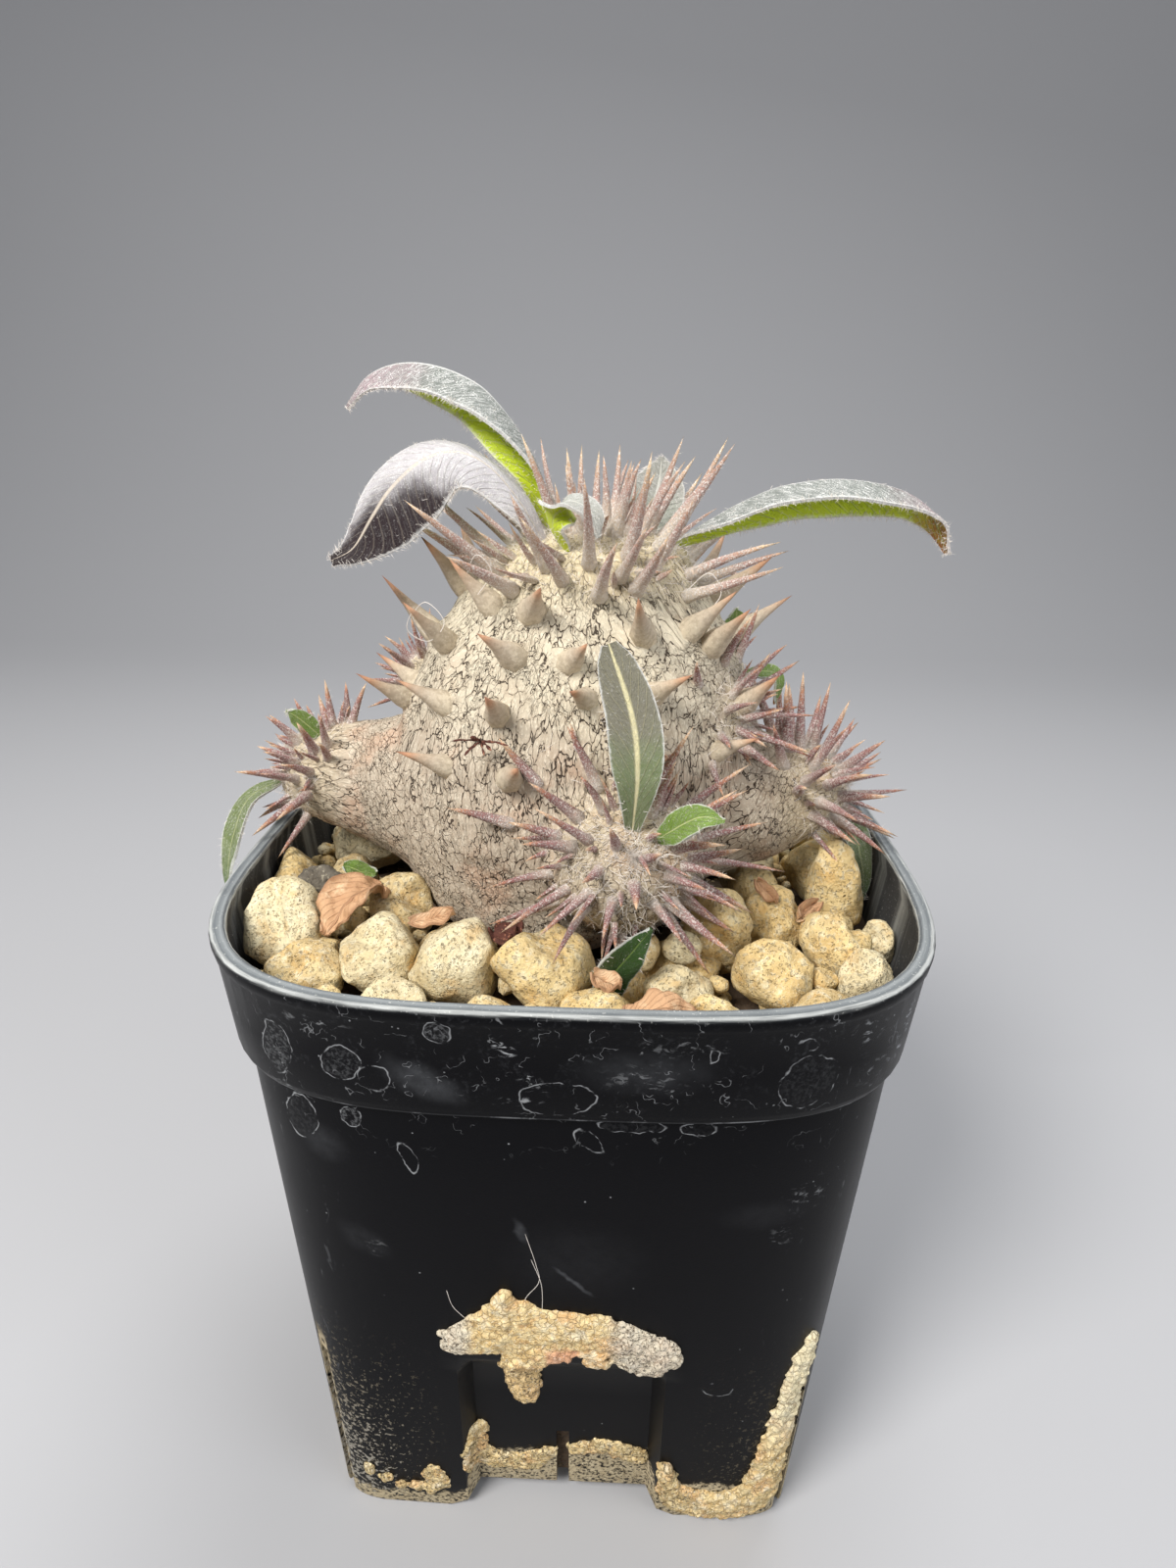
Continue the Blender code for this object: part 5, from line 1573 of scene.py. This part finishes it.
def build_leaf(name, path, width, fold, facing, look, slot, seed):
    stations = [mm(*station) for station in path]
    if name != "leaf_front_foot":  # its base is in the gravel
        spot, out, _, _ = skin_tree.find_nearest(stations[0])
        stations[0] = spot - out * ROOT_DEPTH * MM
    outline = OUTLINES.get(look, LANCE)
    bm = blade(stations, width, fold, facing, 16 + 8 * len(path), 14, seed, outline=outline)
    middle = Vector(facing[0]) + Vector(facing[-1])
    bm.normal_update()
    if sum((face.normal for face in bm.faces), Vector()).dot(middle) < 0:
        bmesh.ops.reverse_faces(bm, faces=bm.faces)
    upper = FACES[look]
    bm = applied(bm, ("SOLIDIFY", {"thickness": BLADE_THICKNESS, "offset": 0, "material_offset": 1}),
                 materials=(upper, BRIGHTENED_UNDERSIDE))
    start = len(bm.faces)
    fringe(bm, stations, width, fold, facing, seed, outline, *HAIRS.get(look, FEW_HAIRS))
    for face in list(bm.faces)[start:]:
        face.material_index = 2
    coats = [upper, BRIGHTENED_UNDERSIDE, wool_white]
    return add_piece(name + "_blade", bm, coats, slot, [name], angle=60, turn_out=False)


leaf_pieces = [build_leaf(*row, seed=seed + 1) for seed, row in enumerate(LEAVES)]
print("leaves have", sum(len(piece.data.polygons) for piece in leaf_pieces), "faces with their hairs")

# %% [markdown]
# ## Stones
#
# The top dressing is light, porous, cream-coloured gravel, worn round but pitted. Each solid
# stone already sits in its place, so a copy of it is remeshed finely, smoothed, and pushed in
# and out by noise of three sizes: lumps, dents and grain.

# %% Wear each stone from its solid
STONE_VOXEL = 0.48 * MM
FLATTENED = 0.85  # share of what stands out


def flatten_sides(verts, centre, draw, count, nearest, furthest):
    """Presses flat facets into a lump: each is a plane at a share of the lump's reach."""
    for _ in range(count):
        way = Vector([draw.gauss(0, 1) for _ in range(3)]).normalized()
        reach = max((vertex.co - centre).dot(way) for vertex in verts)
        limit = reach * draw.uniform(nearest, furthest)
        for vertex in verts:
            over = (vertex.co - centre).dot(way) - limit
            if over > 0:
                vertex.co -= way * over * FLATTENED


def groove(verts, centre, draw):
    """A shallow dent over one side, as in heart and bean shaped stones."""
    out = Vector((draw.uniform(-0.7, 0.7), draw.uniform(-1, 0.2), draw.uniform(0.2, 1))).normalized()
    way = out.cross(Vector([draw.gauss(0, 1) for _ in range(3)])).normalized()
    depth = draw.uniform(0, 2.4) * MM
    for vertex in verts:
        away = vertex.co - centre
        facing = max(away.normalized().dot(out), 0)
        vertex.co -= out * depth * facing**2 * (1 - ease(abs(away.dot(way)) / (2.8 * MM)))


def worn_stone(name, seed):
    draw = random.Random(seed + 60)
    bm = bmesh.new()
    bm.from_mesh(nodes[name].data)
    bmesh.ops.remove_doubles(bm, verts=bm.verts, dist=0.02 * MM)
    bm = melted(bm, STONE_VOXEL, 4)
    roughen(bm, 7.5, 1.5, seed, lean=0.2, octaves=1)
    roughen(bm, 4, 0.5, seed + 0.2, octaves=1)
    centre = middle_of(bm.verts)
    flatten_sides(bm.verts, centre, draw, 4, 0.76, 0.95)
    groove(bm.verts, centre, draw)
    bm = applied(bm, ("SMOOTH", {"iterations": 3}))
    roughen(bm, 2.4, 0.2, seed + 0.4)
    roughen(bm, 0.8, 0.07, seed + 0.7)
    tint = bm.verts.layers.float.new("tint")
    shade = random.Random(seed).random()
    for vertex in bm.verts:
        vertex[tint] = shade
    return bm


stone_names = sorted(name for name in nodes if name.startswith("stone_"))
worn_stones = [worn_stone(name, place + 1) for place, name in enumerate(stone_names)]
print(len(worn_stones), "stones worn")

# %% Mix the stone, and place the worn ones
def stone_finish():
    r = Recipe("porous cream stone", Roughness=0.92, Specular_IOR_Level=0.15)
    tint = r.mark("tint")
    soft = r.noise(4.2, 4)
    yellow = r.mix(r.step(soft, 0.35, 0.65), (226, 203, 150), (209, 180, 124))
    white = r.mix(r.step(soft, 0.35, 0.7), (226, 213, 177), (208, 190, 148))
    buff = r.mix(r.step(soft, 0.35, 0.7), (214, 194, 148), (190, 164, 116))
    tone = r.mix(r.step(tint, 0.24, 0.26), white, yellow)
    tone = r.mix(r.step(tint, 0.74, 0.76), tone, buff)
    tone = r.patched(tone, 3, 5, 0.52, 0.7, 0.5, (210, 164, 92))
    tone = r.patched(tone, 5.5, 4, 0.52, 0.66, 0.4, (172, 152, 116))
    tone = r.patched(tone, 1.1, 5, 0.52, 0.62, 0.45, (244, 236, 206))
    speck_place = r.bend(0.6, 0.6)
    specks = r.fade(r.cells(0.9, "F1", speck_place), 0.12, 0.24) * r.patches(1.7, 2, 0.53, 0.61)
    pits = r.fade(r.cells(0.46, "F1", speck_place), 0.16, 0.36) * r.patches(1.2, 3, 0.42, 0.56)
    dents = r.patches(0.55, 4, 0.56, 0.66)
    tone = r.mix((pits * 0.3).most(dents * 0.28), tone, (168, 141, 97))
    tone = r.mix(specks * 0.5, tone, (112, 92, 62))
    grain = r.noise(0.25, 3)
    tone = r.mix(r.step(grain, 0.56, 0.7) * 0.35, tone, (248, 242, 222))
    relief = r.bump(r.noise(0.8, 6) - 0.5 * pits - 0.5 * specks - 0.4 * dents, 0.4)
    relief = r.bump(grain, 0.1, relief)
    return r.finish(Base_Color=tone, Normal=relief)


stone_coat = stone_finish()
for place, (name, stone) in enumerate(zip(stone_names, worn_stones)):
    slot = "cream_stone_%d" % (place % 3 + 1)
    add_piece(name + "_worn", stone, [stone_coat], slot, [name], angle=80)
print("their finish has", len(stone_coat.node_tree.nodes), "nodes")

# %% [markdown]
# ## Small gravel between the stones
#
# Between the large stones lie many smaller ones, down to grit. Each candidate is dropped as a
# ball, rolls off whatever it meets until it is held, and is kept if it came to rest low enough,
# as real fill does.

# %% Let balls fall and roll until they rest
TOUCHING = 0.03 * MM
LOST_BELOW = 80 * MM
FALL_MOVES, ROLL_MOVES = 40, 16  # the most in one fall, and in one roll
ROLL_LENGTH = 0.4  # of a ball's radius
held_in = bmesh.new()
for name in stone_names + ["soil"]:
    held_in.from_mesh(nodes[name].data)
low_leaves = [leaf for leaf in leaf_pieces if "foot" in leaf.name or "right_hanging" in leaf.name]
for piece in [skin, pot] + low_leaves:
    held_in.from_mesh(piece.data)
ground = BVHTree.FromBMesh(held_in)


def fall(centre, radius, balls):
    """Where a ball stops when it falls straight down from the centre, and the point it rests on."""
    for _ in range(FALL_MOVES):
        contact, _, _, away = ground.find_nearest(centre)
        room = away - radius
        for other, other_radius in balls:
            gap = (other - centre).length - radius - other_radius
            if gap < room:
                contact, room = other + (centre - other).normalized() * other_radius, gap
        if room < TOUCHING:
            return centre, contact
        centre = centre - UP * room * 0.95
        if centre.z < LOST_BELOW:
            return None, None
    return centre, contact


def settle(centre, radius, balls):
    """Lets a ball fall, then roll downhill in short moves until it goes no lower."""
    centre, contact = fall(centre, radius, balls)
    for _ in range(ROLL_MOVES):
        if centre is None:
            return None
        downhill = (centre - contact) * Vector((1, 1, 0))
        if downhill.length < 0.05 * MM:
            downhill = Vector((1, 0, 0)) * MM
        lower, under = fall(centre + downhill.normalized() * radius * ROLL_LENGTH, radius, balls)
        if lower is None or lower.z > centre.z - 0.02 * MM:
            return centre
        centre, contact = lower, under
    return centre


print("balls fall onto", len(stone_names), "stones, the soil, the plant and the pot")

# %% Drop balls and turn them into gravel
GRAVEL_REACH = 40.5  # millimetres from the pot's middle to the gravel's edge
PLANT_FOOT = (-2.5, 1)  # across and deep; nothing is dropped within its radius
FOOT_RADIUS = 15 * MM


def dropped_gravel(sizes, tries, highest, seed, fallen, start_height=96):
    """Balls that came to rest below the highest height; all measures are in millimetres."""
    draw = random.Random(seed)
    before = len(fallen)
    for _ in range(tries):
        x, y = [draw.uniform(-GRAVEL_REACH, GRAVEL_REACH) * MM for _ in range(2)]
        radius = draw.uniform(*sizes) * MM
        in_foot = Vector((x - PLANT_FOOT[0] * MM, y - PLANT_FOOT[1] * MM, 0)).length < FOOT_RADIUS
        past_edge = (abs(x) / (GRAVEL_REACH * MM)) ** 4 + (abs(y) / (GRAVEL_REACH * MM)) ** 4 > 1
        start = Vector((x, y, start_height * MM))
        if in_foot or past_edge or ground.find_nearest(start)[3] < radius:
            continue
        balls = [ball for ball in fallen if (ball[0] - start).xy.length < 11 * MM]
        centre = settle(start, radius, balls)
        if centre and centre.z + radius < highest * MM:
            fallen.append((centre, radius))
    return fallen[before:]


def gravel_piece(name, balls, subdivisions, seed, slot):
    draw = random.Random(seed)
    bm = marked_bmesh("tint")
    tint = bm.verts.layers.float["tint"]
    for place, (centre, radius) in enumerate(balls):
        turn = (Matrix.Rotation(draw.uniform(0, 3), 4, "Z")
                @ Matrix.Rotation(draw.uniform(-0.6, 0.6), 4, "X"))
        shape = Matrix.Diagonal((draw.uniform(1.05, 1.4), draw.uniform(0.9, 1.1),
                                 draw.uniform(0.75, 0.95), 1))
        made = bmesh.ops.create_icosphere(bm, subdivisions=subdivisions, radius=radius,
                                          matrix=Matrix.Translation(centre) @ turn @ shape)["verts"]
        shade = draw.random()
        for vertex in made:
            out = vertex.co - centre
            lump = lumps(out / (radius * 0.9) + Vector((place * 1.7, place, 0)), 2)
            vertex.co = centre + out * (1.1 + 0.26 * lump)
            vertex[tint] = shade
        flatten_sides(made, centre, draw, 7, 0.62, 0.88)
    return add_piece(name, bm, [stone_coat], slot, angle=80)


print("gravel falls within", GRAVEL_REACH, "mm of the pot's middle")

# %% Fill the gaps with pebbles and grit
# across, deep, height and radius of the pebbles under the overhanging front head
SET_PEBBLES = [(12, -23.6, 86.2, 3.2), (7.6, -24.8, 86, 2.9), (15.6, -21.8, 86, 2.8),
               (10, -24.2, 90, 2.2), (13.8, -23.8, 90, 2.1)]
fallen = []
for across, deep, height, radius in SET_PEBBLES:
    centre = settle(mm(across, deep, height), radius * MM, fallen)
    if centre:
        fallen.append((centre, radius * MM))
pebbles = fallen[:]
print(len(pebbles), "pebbles set under the front head")
pebbles += dropped_gravel((1.5, 2.9), 500, 89.5, 5, fallen)
# under the front head, more can only come from lower down
pebbles += dropped_gravel((1.4, 2.6), 500, 89.5, 8, fallen, 89)
held_in.from_mesh(gravel_piece("gravel_pebbles", pebbles, 3, 11, "cream_stone_1").data)
grit = dropped_gravel((0.5, 1.3), 1200, 88.5, 6, fallen)
grit += dropped_gravel((0.6, 1.3), 500, 88.5, 9, fallen, 88)
# none is left caught between the hanging leaf and the wall
grit = [ball for ball in grit if ball[0].x < 37 * MM or ball[0].z < 85 * MM]
held_in.from_mesh(gravel_piece("gravel_grit", grit, 2, 12, "cream_stone_2").data)
ground = BVHTree.FromBMesh(held_in)
held_in.free()
print(len(pebbles), "pebbles and", len(grit), "pieces of grit came to rest")

# %% [markdown]
# ## Mineral crust
#
# Hard water has seeped through the slots and dried into a lumpy crust on the front wall and
# round the feet. It grows as grains on grains, so thousands of small balls are set
# on the wall inside each patch and melted together into one rough body.

# %% List the patches of each crust
# patches of each crust, in order along it: across, height and radius
FRONT_CRUST = [
    (-13.2, 39.8, 2.7), (-10.6, 40.8, 3.4), (-7.6, 42.4, 4.4), (-7, 46.6, 2.2), (-7.1, 49, 0.9),
    (-3.4, 42.6, 4), (0, 42.6, 3.6), (3.4, 43, 3.3), (6.6, 41.8, 3.1), (9.4, 40.4, 3), (12, 39.2, 2.8),
    (14, 38.4, 2), (11.4, 35.4, 2.2), (9.6, 37.2, 2.2), (-0.4, 38.4, 2.4), (-4, 38.4, 3),
    (-5.6, 34, 2.9), (-5.5, 30.6, 2.6), (-5.3, 27.4, 2.5), (-5, 25.2, 1.8),
]
RIGHT_FOOT_CRUST = [
    (14.6, 13, 1), (15, 11, 1.3), (15.4, 7.4, 1.8), (17.4, 4.8, 3), (20.4, 3.8, 3.2), (23.4, 3.4, 3.2),
    (26.2, 4.4, 3.4), (28.4, 7, 3.2), (29.2, 11, 3), (29.6, 15, 2.6), (30, 20, 2.4), (30.6, 25, 2.2),
    (31.4, 30, 2), (32.2, 34.6, 1.8), (32.8, 37.4, 1),
]
SKIRT_CRUST = [
    (-12, 16.6, 1.4), (-12.4, 13, 1.8), (-12, 10, 2), (-10, 8.6, 2.2), (-7.4, 8.2, 2), (-4.6, 8.4, 2),
    (-2.4, 10.6, 1.4), (2.8, 12.4, 1.4), (5.4, 13, 1.6), (8, 12.2, 1.8), (10.6, 11, 1.8),
]
LEFT_FOOT_CRUST = [(-18.6, 8.4, 1.8), (-17.6, 6.4, 1.6), (-18.8, 4.8, 1.2), (-23.4, 5.2, 0.9), (-28, 8, 0.8)]
print("the front crust has", len(FRONT_CRUST), "patches")

# %% Grow a crust on the pot's wall
CRUST_VOXEL = 0.3 * MM
pot_tree = tree_of(pot)


def wall_spot(across, height):
    """The point on the front wall at this place, and the way the wall faces there."""
    return pot_tree.ray_cast(mm(across, -60, height), Vector((0, 1, 0)))[:2]


def crust_body(patches, thick, seed):
    draw = random.Random(seed)
    bm = bmesh.new()
    row = []
    for first, second in zip(patches, patches[1:] + patches[-1:]):
        row += [Vector(first), Vector(first).lerp(Vector(second), 0.5)]
    # an operator slows down as its bmesh grows, so each patch is grown in a bmesh of its own
    sheet = bpy.data.meshes.new("clump")
    for across, height, radius in row:
        clump = bmesh.new()
        for _ in range(int(9 + radius * radius * 12)):
            bearing, away = draw.uniform(0, 2 * math.pi), radius * math.sqrt(draw.random())
            x, z = across + math.cos(bearing) * away, height + math.sin(bearing) * away
            spot, normal = wall_spot(x, max(z, 0.9))
            if spot is None or normal.y > -0.2:
                continue
            size = draw.uniform(0.4, 0.8) * (1 - 0.3 * away / radius) * MM
            lift = draw.uniform(-0.15, thick * (1 - 0.7 * (away / radius) ** 2)) * MM
            turn = normal.to_track_quat("Z", "Y").to_matrix().to_4x4()
            bmesh.ops.create_icosphere(clump, subdivisions=1, radius=size,
                                       matrix=Matrix.Translation(spot + normal * lift) @ turn)
        clump.to_mesh(sheet)
        clump.free()
        bm.from_mesh(sheet)
    bpy.data.meshes.remove(sheet)
    bm = melted(bm, CRUST_VOXEL, 3)
    roughen(bm, 1.3, 0.22, seed)
    return bm


print("the front wall is at", round(wall_spot(0, 60)[0].y / MM, 1), "mm")

# %% Mix the crust, and grow all four
def crust_finish():
    r = Recipe("mineral crust", Roughness=0.94, Specular_IOR_Level=0.15)
    x, z = r.axis("X"), r.axis("Z")
    lump = r.noise(1.1, 4)
    tone = r.mix(r.step(lump, 0.32, 0.66), (206, 174, 118), (236, 214, 164))
    tone = r.patched(tone, 4.5, 3, 0.5, 0.62, 0.6, (220, 174, 122))
    tone = r.patched(tone, 2.6, 4, 0.54, 0.66, 0.7, (238, 226, 194))
    upper = r.step(z, 34, 37)
    pink = r.fade(abs(x - 0.2), 1.6, 2.6) * r.fade(z, 39, 40) * upper
    tone = r.mix(pink * 0.8, tone, (214, 158, 126))
    grey_end = (r.step(x, 5, 8) + r.fade(x, -13, -10.5)).least(1.0)
    grey_end = grey_end * r.step(z, 32, 34) * r.fade(abs(x), 16, 18)
    tone = r.mix(grey_end * 0.7, tone, (206, 200, 188))
    tongue = r.fade(z, 34.5, 36.5) * r.fade(abs(x + 5), 3, 5) * r.step(z, 20, 22)
    tone = r.mix(tongue * 0.7, tone, (206, 176, 126))
    low = r.fade(z, 14, 18)
    tone = r.mix(low * r.patches(1.4, 4, 0.46, 0.6) * 0.7, tone, (172, 154, 112))
    tone = r.mix(r.step(x, 27, 30) * r.step(z, 14, 26) * 0.7, tone, (226, 218, 186))
    seams = r.fade(r.cells(0.95, "DISTANCE_TO_EDGE", r.bend(0.8, 0.8)), 0.02, 0.1)
    speckled = grey_end.most(tongue).most(low * r.fade(x, 14, 24))
    specks = r.patches(0.42, 4, 0.55, 0.63) * (0.2 + 0.8 * speckled)
    tone = r.mix(seams * r.patches(1.6, 3, 0.42, 0.58) * 0.5, tone, (128, 98, 66))
    tone = r.mix(specks * 0.75, tone, (62, 52, 44))
    tone = r.patched(tone, 0.3, 2, 0.58, 0.68, 0.4, (250, 244, 228))
    relief = r.bump(r.noise(0.5, 6) - seams * 0.4 - specks * 0.4, 0.3)
    return r.finish(Base_Color=tone, Normal=relief)


crust_coat = crust_finish()
for name, patches, thick, seed, stands in (
        ("crust_front_lumps", FRONT_CRUST, 0.85, 3, ["crust_front"]),
        ("crust_right_foot_lumps", RIGHT_FOOT_CRUST, 0.8, 4, ["crust_right_foot"]),
        ("crust_skirt_lumps", SKIRT_CRUST, 0.2, 8, []),
        ("crust_left_foot_lumps", LEFT_FOOT_CRUST, 0.3, 9, [])):
    body = crust_body(patches, thick, seed)
    piece = add_piece(name, body, [crust_coat], "mineral_crust", stands, angle=80)
    print(name, "has", len(piece.data.polygons), "faces")

# %% [markdown]
# ## Fallen leaves and litter
#
# A few dry leaves have dropped onto the stones and curled. They are made like the live leaves,
# then crumpled with noise and finished in papery orange-brown. Smaller scraps lie between.

# %% Crumple the dry leaves
LITTER_THICKNESS = 0.25 * MM
# solid's name, path, width, fold, the ways the upper side looks
DRY_LEAVES = [
    ("dry_leaf_left", [(-25.5, -14, 104), (-28.4, -17.8, 104.4), (-31, -22.5, 101.5)],
     8.4, 34, ((-0.5, -0.7, 0.45), (-0.4, -0.75, 0.5))),
    ("dry_leaf_front", [(6.5, -37, 101), (10.5, -37, 102.6), (14.5, -36, 101.4)],
     6, 30, ((0, -0.2, 1), (0, -0.2, 1))),
]


def dry_finish():
    r = Recipe("dry leaf", Roughness=0.8)
    across, along = r.mark("across"), r.mark("along")
    side, middle = veins_of(r, across, along, 9, -4.0)
    tone = r.mix(r.noise(2.4, 4), (172, 126, 90), (212, 174, 134))
    tone = r.patched(tone, 3, 3, 0.55, 0.7, 0.7, (230, 200, 162))
    tone = r.mix((side * 0.24).most(middle * 0.5), tone, (150, 104, 72))
    tone = r.mix(r.step(abs(across), 0.85, 1) * 0.5, tone, (118, 76, 50))
    relief = r.bump(side * 0.2 + middle + r.noise(0.8, 4), 0.3)
    return r.finish(Base_Color=tone, Normal=relief)


dry_coat = dry_finish()


def dry_piece(name, path, width, fold, facing, seed, target):
    """A curled leaf in the place of a solid, its middle on the solid's."""
    bm = blade([mm(*station) for station in path], width, fold, facing, 36, 18, seed, ripple=2)
    roughen(bm, 3.2, 0.6, seed)
    roughen(bm, 1.2, 0.2, seed + 1)
    low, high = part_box(target)
    middle = (low + high) / 2
    centre = middle_of(bm.verts)
    bmesh.ops.translate(bm, verts=bm.verts, vec=middle - centre)
    bm = applied(bm, ("SOLIDIFY", {"thickness": LITTER_THICKNESS, "offset": 0}))
    return add_piece(name, bm, [dry_coat], "dry_leaf", [target], angle=60, turn_out=False)


for seed, (name, path, width, fold, facing) in enumerate(DRY_LEAVES):
    dry_piece(name + "_curled", path, width, fold, facing, seed + 40, name)
print("dry leaves curled in place")

# %% List the scraps of leaf and bark
# across, deep, length, width and turn in degrees, for every scrap of one kind
BROWN_SCRAPS = [(-16, -25.2, 5.6, 2.4, 35), (4.7, -32.6, 3.6, 3, -20), (29.6, -14.8, 5, 2.6, 10),
                (25.4, -14.6, 4.2, 2, -40), (2.6, -30.4, 3, 2.2, 60), (10.5, -38.2, 4.2, 2, 15)]
DARK_SCRAPS = [(-7.1, -26.6, 3.6, 3, 20), (-8.0, -25.6, 2.8, 2.2, -50), (-6.0, -26.2, 2.4, 2, 70)]
GREEN_SCRAPS = [(-31, -6.4, 4.8, 2.5, -24)]
# across, deep, lowest height, length, width and turn; they lie across the gap between two stones
BARK_CHUNKS = [(-35.2, -9.4, 89.6, 7, 4.6, 12), (-37.2, -9.4, 89.9, 4, 3.2, 60),
               (-33.4, -9.8, 89.5, 4.2, 3.4, 80)]
print(len(BROWN_SCRAPS), "brown scraps and", len(BARK_CHUNKS), "chunks of bark")

# %% Shape scraps and chunks where they lie
def scraps(rows, seed, crumple, start_height=106):
    """Small curved sheets that lie on whatever is under the start height, in millimetres."""
    draw = random.Random(seed)
    bm = marked_bmesh("across", "along")
    across_layer, along_layer = bm.verts.layers.float["across"], bm.verts.layers.float["along"]
    for across, deep, length, width, turn in rows:
        spot, normal, _, _ = ground.ray_cast(mm(across, deep, start_height), -UP)
        upright = (normal + UP + Vector((0, -0.8, 0))).normalized()
        tilt = upright.to_track_quat("Z", "Y").to_matrix().to_4x4()
        turned = Matrix.Rotation(math.radians(turn), 4, "Z")
        place = Matrix.Translation(spot + normal * 0.9 * MM) @ tilt @ turned
        made = bmesh.ops.create_grid(bm, x_segments=12, y_segments=8, size=0.5)["verts"]
        for vertex in made:
            x, y, _ = vertex.co
            taper = math.sqrt(max(1 - (2 * x) ** 2, 0.06))
            lump = lumps(Vector((x * 2.4, y * 2.4, draw.random() * 0.2 + seed)), 2) * crumple
            rise = (y * y * 1.6 + x * x * 0.8) * width * 0.6 + lump
            vertex[across_layer], vertex[along_layer] = 2 * y, x + 0.5
            vertex.co = place @ mm(x * length, y * width * taper, rise)
    return applied(bm, ("SOLIDIFY", {"thickness": LITTER_THICKNESS, "offset": 0}))


def chunks(rows, seed):
    """Rough lumps of old bark."""
    bm = bmesh.new()
    for place, (across, deep, lowest, length, width, turn) in enumerate(rows):
        spot, _, _, _ = ground.ray_cast(mm(across, deep, 96), -UP)
        spot.z = max(spot.z, lowest * MM)
        shape = (Matrix.Rotation(math.radians(turn), 4, "Z")
                 @ Matrix.Diagonal((length / 2, width / 2, width / 2.4, 1)))
        made = bmesh.ops.create_icosphere(bm, subdivisions=4, radius=MM, matrix=shape)["verts"]
        flatten_sides(made, Vector(), random.Random(seed + place), 9, 0.6, 0.9)
        for vertex in made:
            vertex.co += spot + UP * 0.8 * MM
    roughen(bm, 1.6, 0.4, seed)
    return bm


print("scraps are", LITTER_THICKNESS / MM, "mm thick")

# %% Mix the remnants, and drop the litter
def remnant_finish():
    r = Recipe("dried remnant", Roughness=0.85)
    tone = r.mix(r.noise(0.9, 4), (44, 21, 16), (108, 60, 46))
    tone = r.patched(tone, 0.5, 3, 0.56, 0.66, 0.6, (190, 130, 100))
    return r.finish(Base_Color=tone, Normal=r.bump(r.noise(0.5, 4), 0.3))


def old_bark_finish():
    r = Recipe("old bark", Roughness=0.95)
    tone = r.mix(r.noise(1.2, 5), (54, 48, 42), (134, 126, 112))
    tone = r.patched(tone, 0.8, 4, 0.54, 0.66, 0.6, (186, 178, 156))
    return r.finish(Base_Color=tone, Normal=r.bump(r.noise(0.7, 5), 0.5))


remnant = remnant_finish()
for name, body, coat in (
        ("litter_brown", scraps(BROWN_SCRAPS, 61, 0.9), dry_coat),
        ("litter_dark", scraps(DARK_SCRAPS, 62, 1.2), remnant),
        ("litter_green", scraps(GREEN_SCRAPS, 63, 1.1, 96), FACES["fresh"]),
        ("litter_bark", chunks(BARK_CHUNKS, 64), old_bark_finish())):
    piece = add_piece(name, body, [coat], "dry_leaf", angle=60, turn_out=name == "litter_bark")
    print(name, "has", len(piece.data.polygons), "faces")

# %% [markdown]
# ## Dried flower and loose threads
#
# A dried flower clings to the trunk, and threads have caught on the spines and the wall.
# Bevelled curves would need turning into meshes, so thin tubes are lofted through points.

# %% Loft the dried remains and the threads
# the middle of the dried remains, and where its thin arms end
REMAINS = (-11, -19.4, 114.6)
REMAINS_ENDS = [(-14.2, -21.6, 115.2), (-12.6, -21.8, 113.6), (-7.4, -22.6, 115.2), (-9.4, -22.2, 114.4),
                (-11.8, -21.8, 115.8), (-10.2, -22.4, 113.8)]
WALL_THREADS = [
    [(-4.2, 60.5), (-3.0, 55), (-2.7, 51.8), (-4.4, 48.6), (-4.6, 45.5)],
    [(-3.6, 56), (-2.5, 52), (-2.3, 49), (-2.4, 45.5)],
    [(-14.2, 49.5), (-13.6, 46.5), (-12.2, 44.3)],
]
LOOSE_THREADS = [
    [(-18, -9, 124), (-20.4, -10, 127), (-18.6, -11, 129.4), (-16.4, -11, 127), (-18.4, -11, 124.6),
     (-21, -11, 126), (-19.8, -12, 129)],
    [(-14, -9, 132), (-12.4, -10, 135), (-10.6, -10, 133), (-12.2, -11, 130.4)],
    [(13, -9, 131), (15.6, -10, 133.4), (17.2, -10, 131), (15.4, -11, 128.6)],
]


def strand(bm, points, thick, count=24):
    """A thin tube along the smooth curve through the points; it ends in points."""
    trail = even_points(points, count)
    rings = []
    for place, centre in enumerate(trail):
        ahead = trail[min(place + 1, count)] - trail[max(place - 1, 0)]
        rings.append(disc(centre, ahead, thick * MM * (0.3 if place in (0, count) else 1), 5))
    loft(bm, rings)


threads = bmesh.new()
for row in WALL_THREADS:
    points = []
    for across, height in row:
        spot, normal = wall_spot(across, height)
        points.append(spot + normal * 0.08 * MM)
    strand(threads, points, 0.035)
for row in LOOSE_THREADS:
    strand(threads, [mm(*point) for point in row], 0.05, 48)
add_piece("loose_threads", threads, [wool_white], "dry_leaf", angle=80)

remains = bmesh.new()
centre = mm(*REMAINS)
for end in REMAINS_ENDS:
    tip = mm(*end)
    strand(remains, [centre, centre.lerp(tip, 0.6) + mm(0, -0.4, 0.3), tip], 0.15, 8)
roughen(remains, 0.8, 0.15, seed=3)
add_piece("dried_flower", remains, [remnant], "dry_leaf", angle=70)
print("threads and dried remains set")

# %% Print both boxes and finish
visual_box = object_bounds()
boxes = {"cad": [list(corner) for corner in cad_box], "visual": [list(corner) for corner in visual_box]}
for label, (low, high) in boxes.items():
    print(label, "box in mm:", [round((end - start) * 1000, 1) for start, end in zip(low, high)])
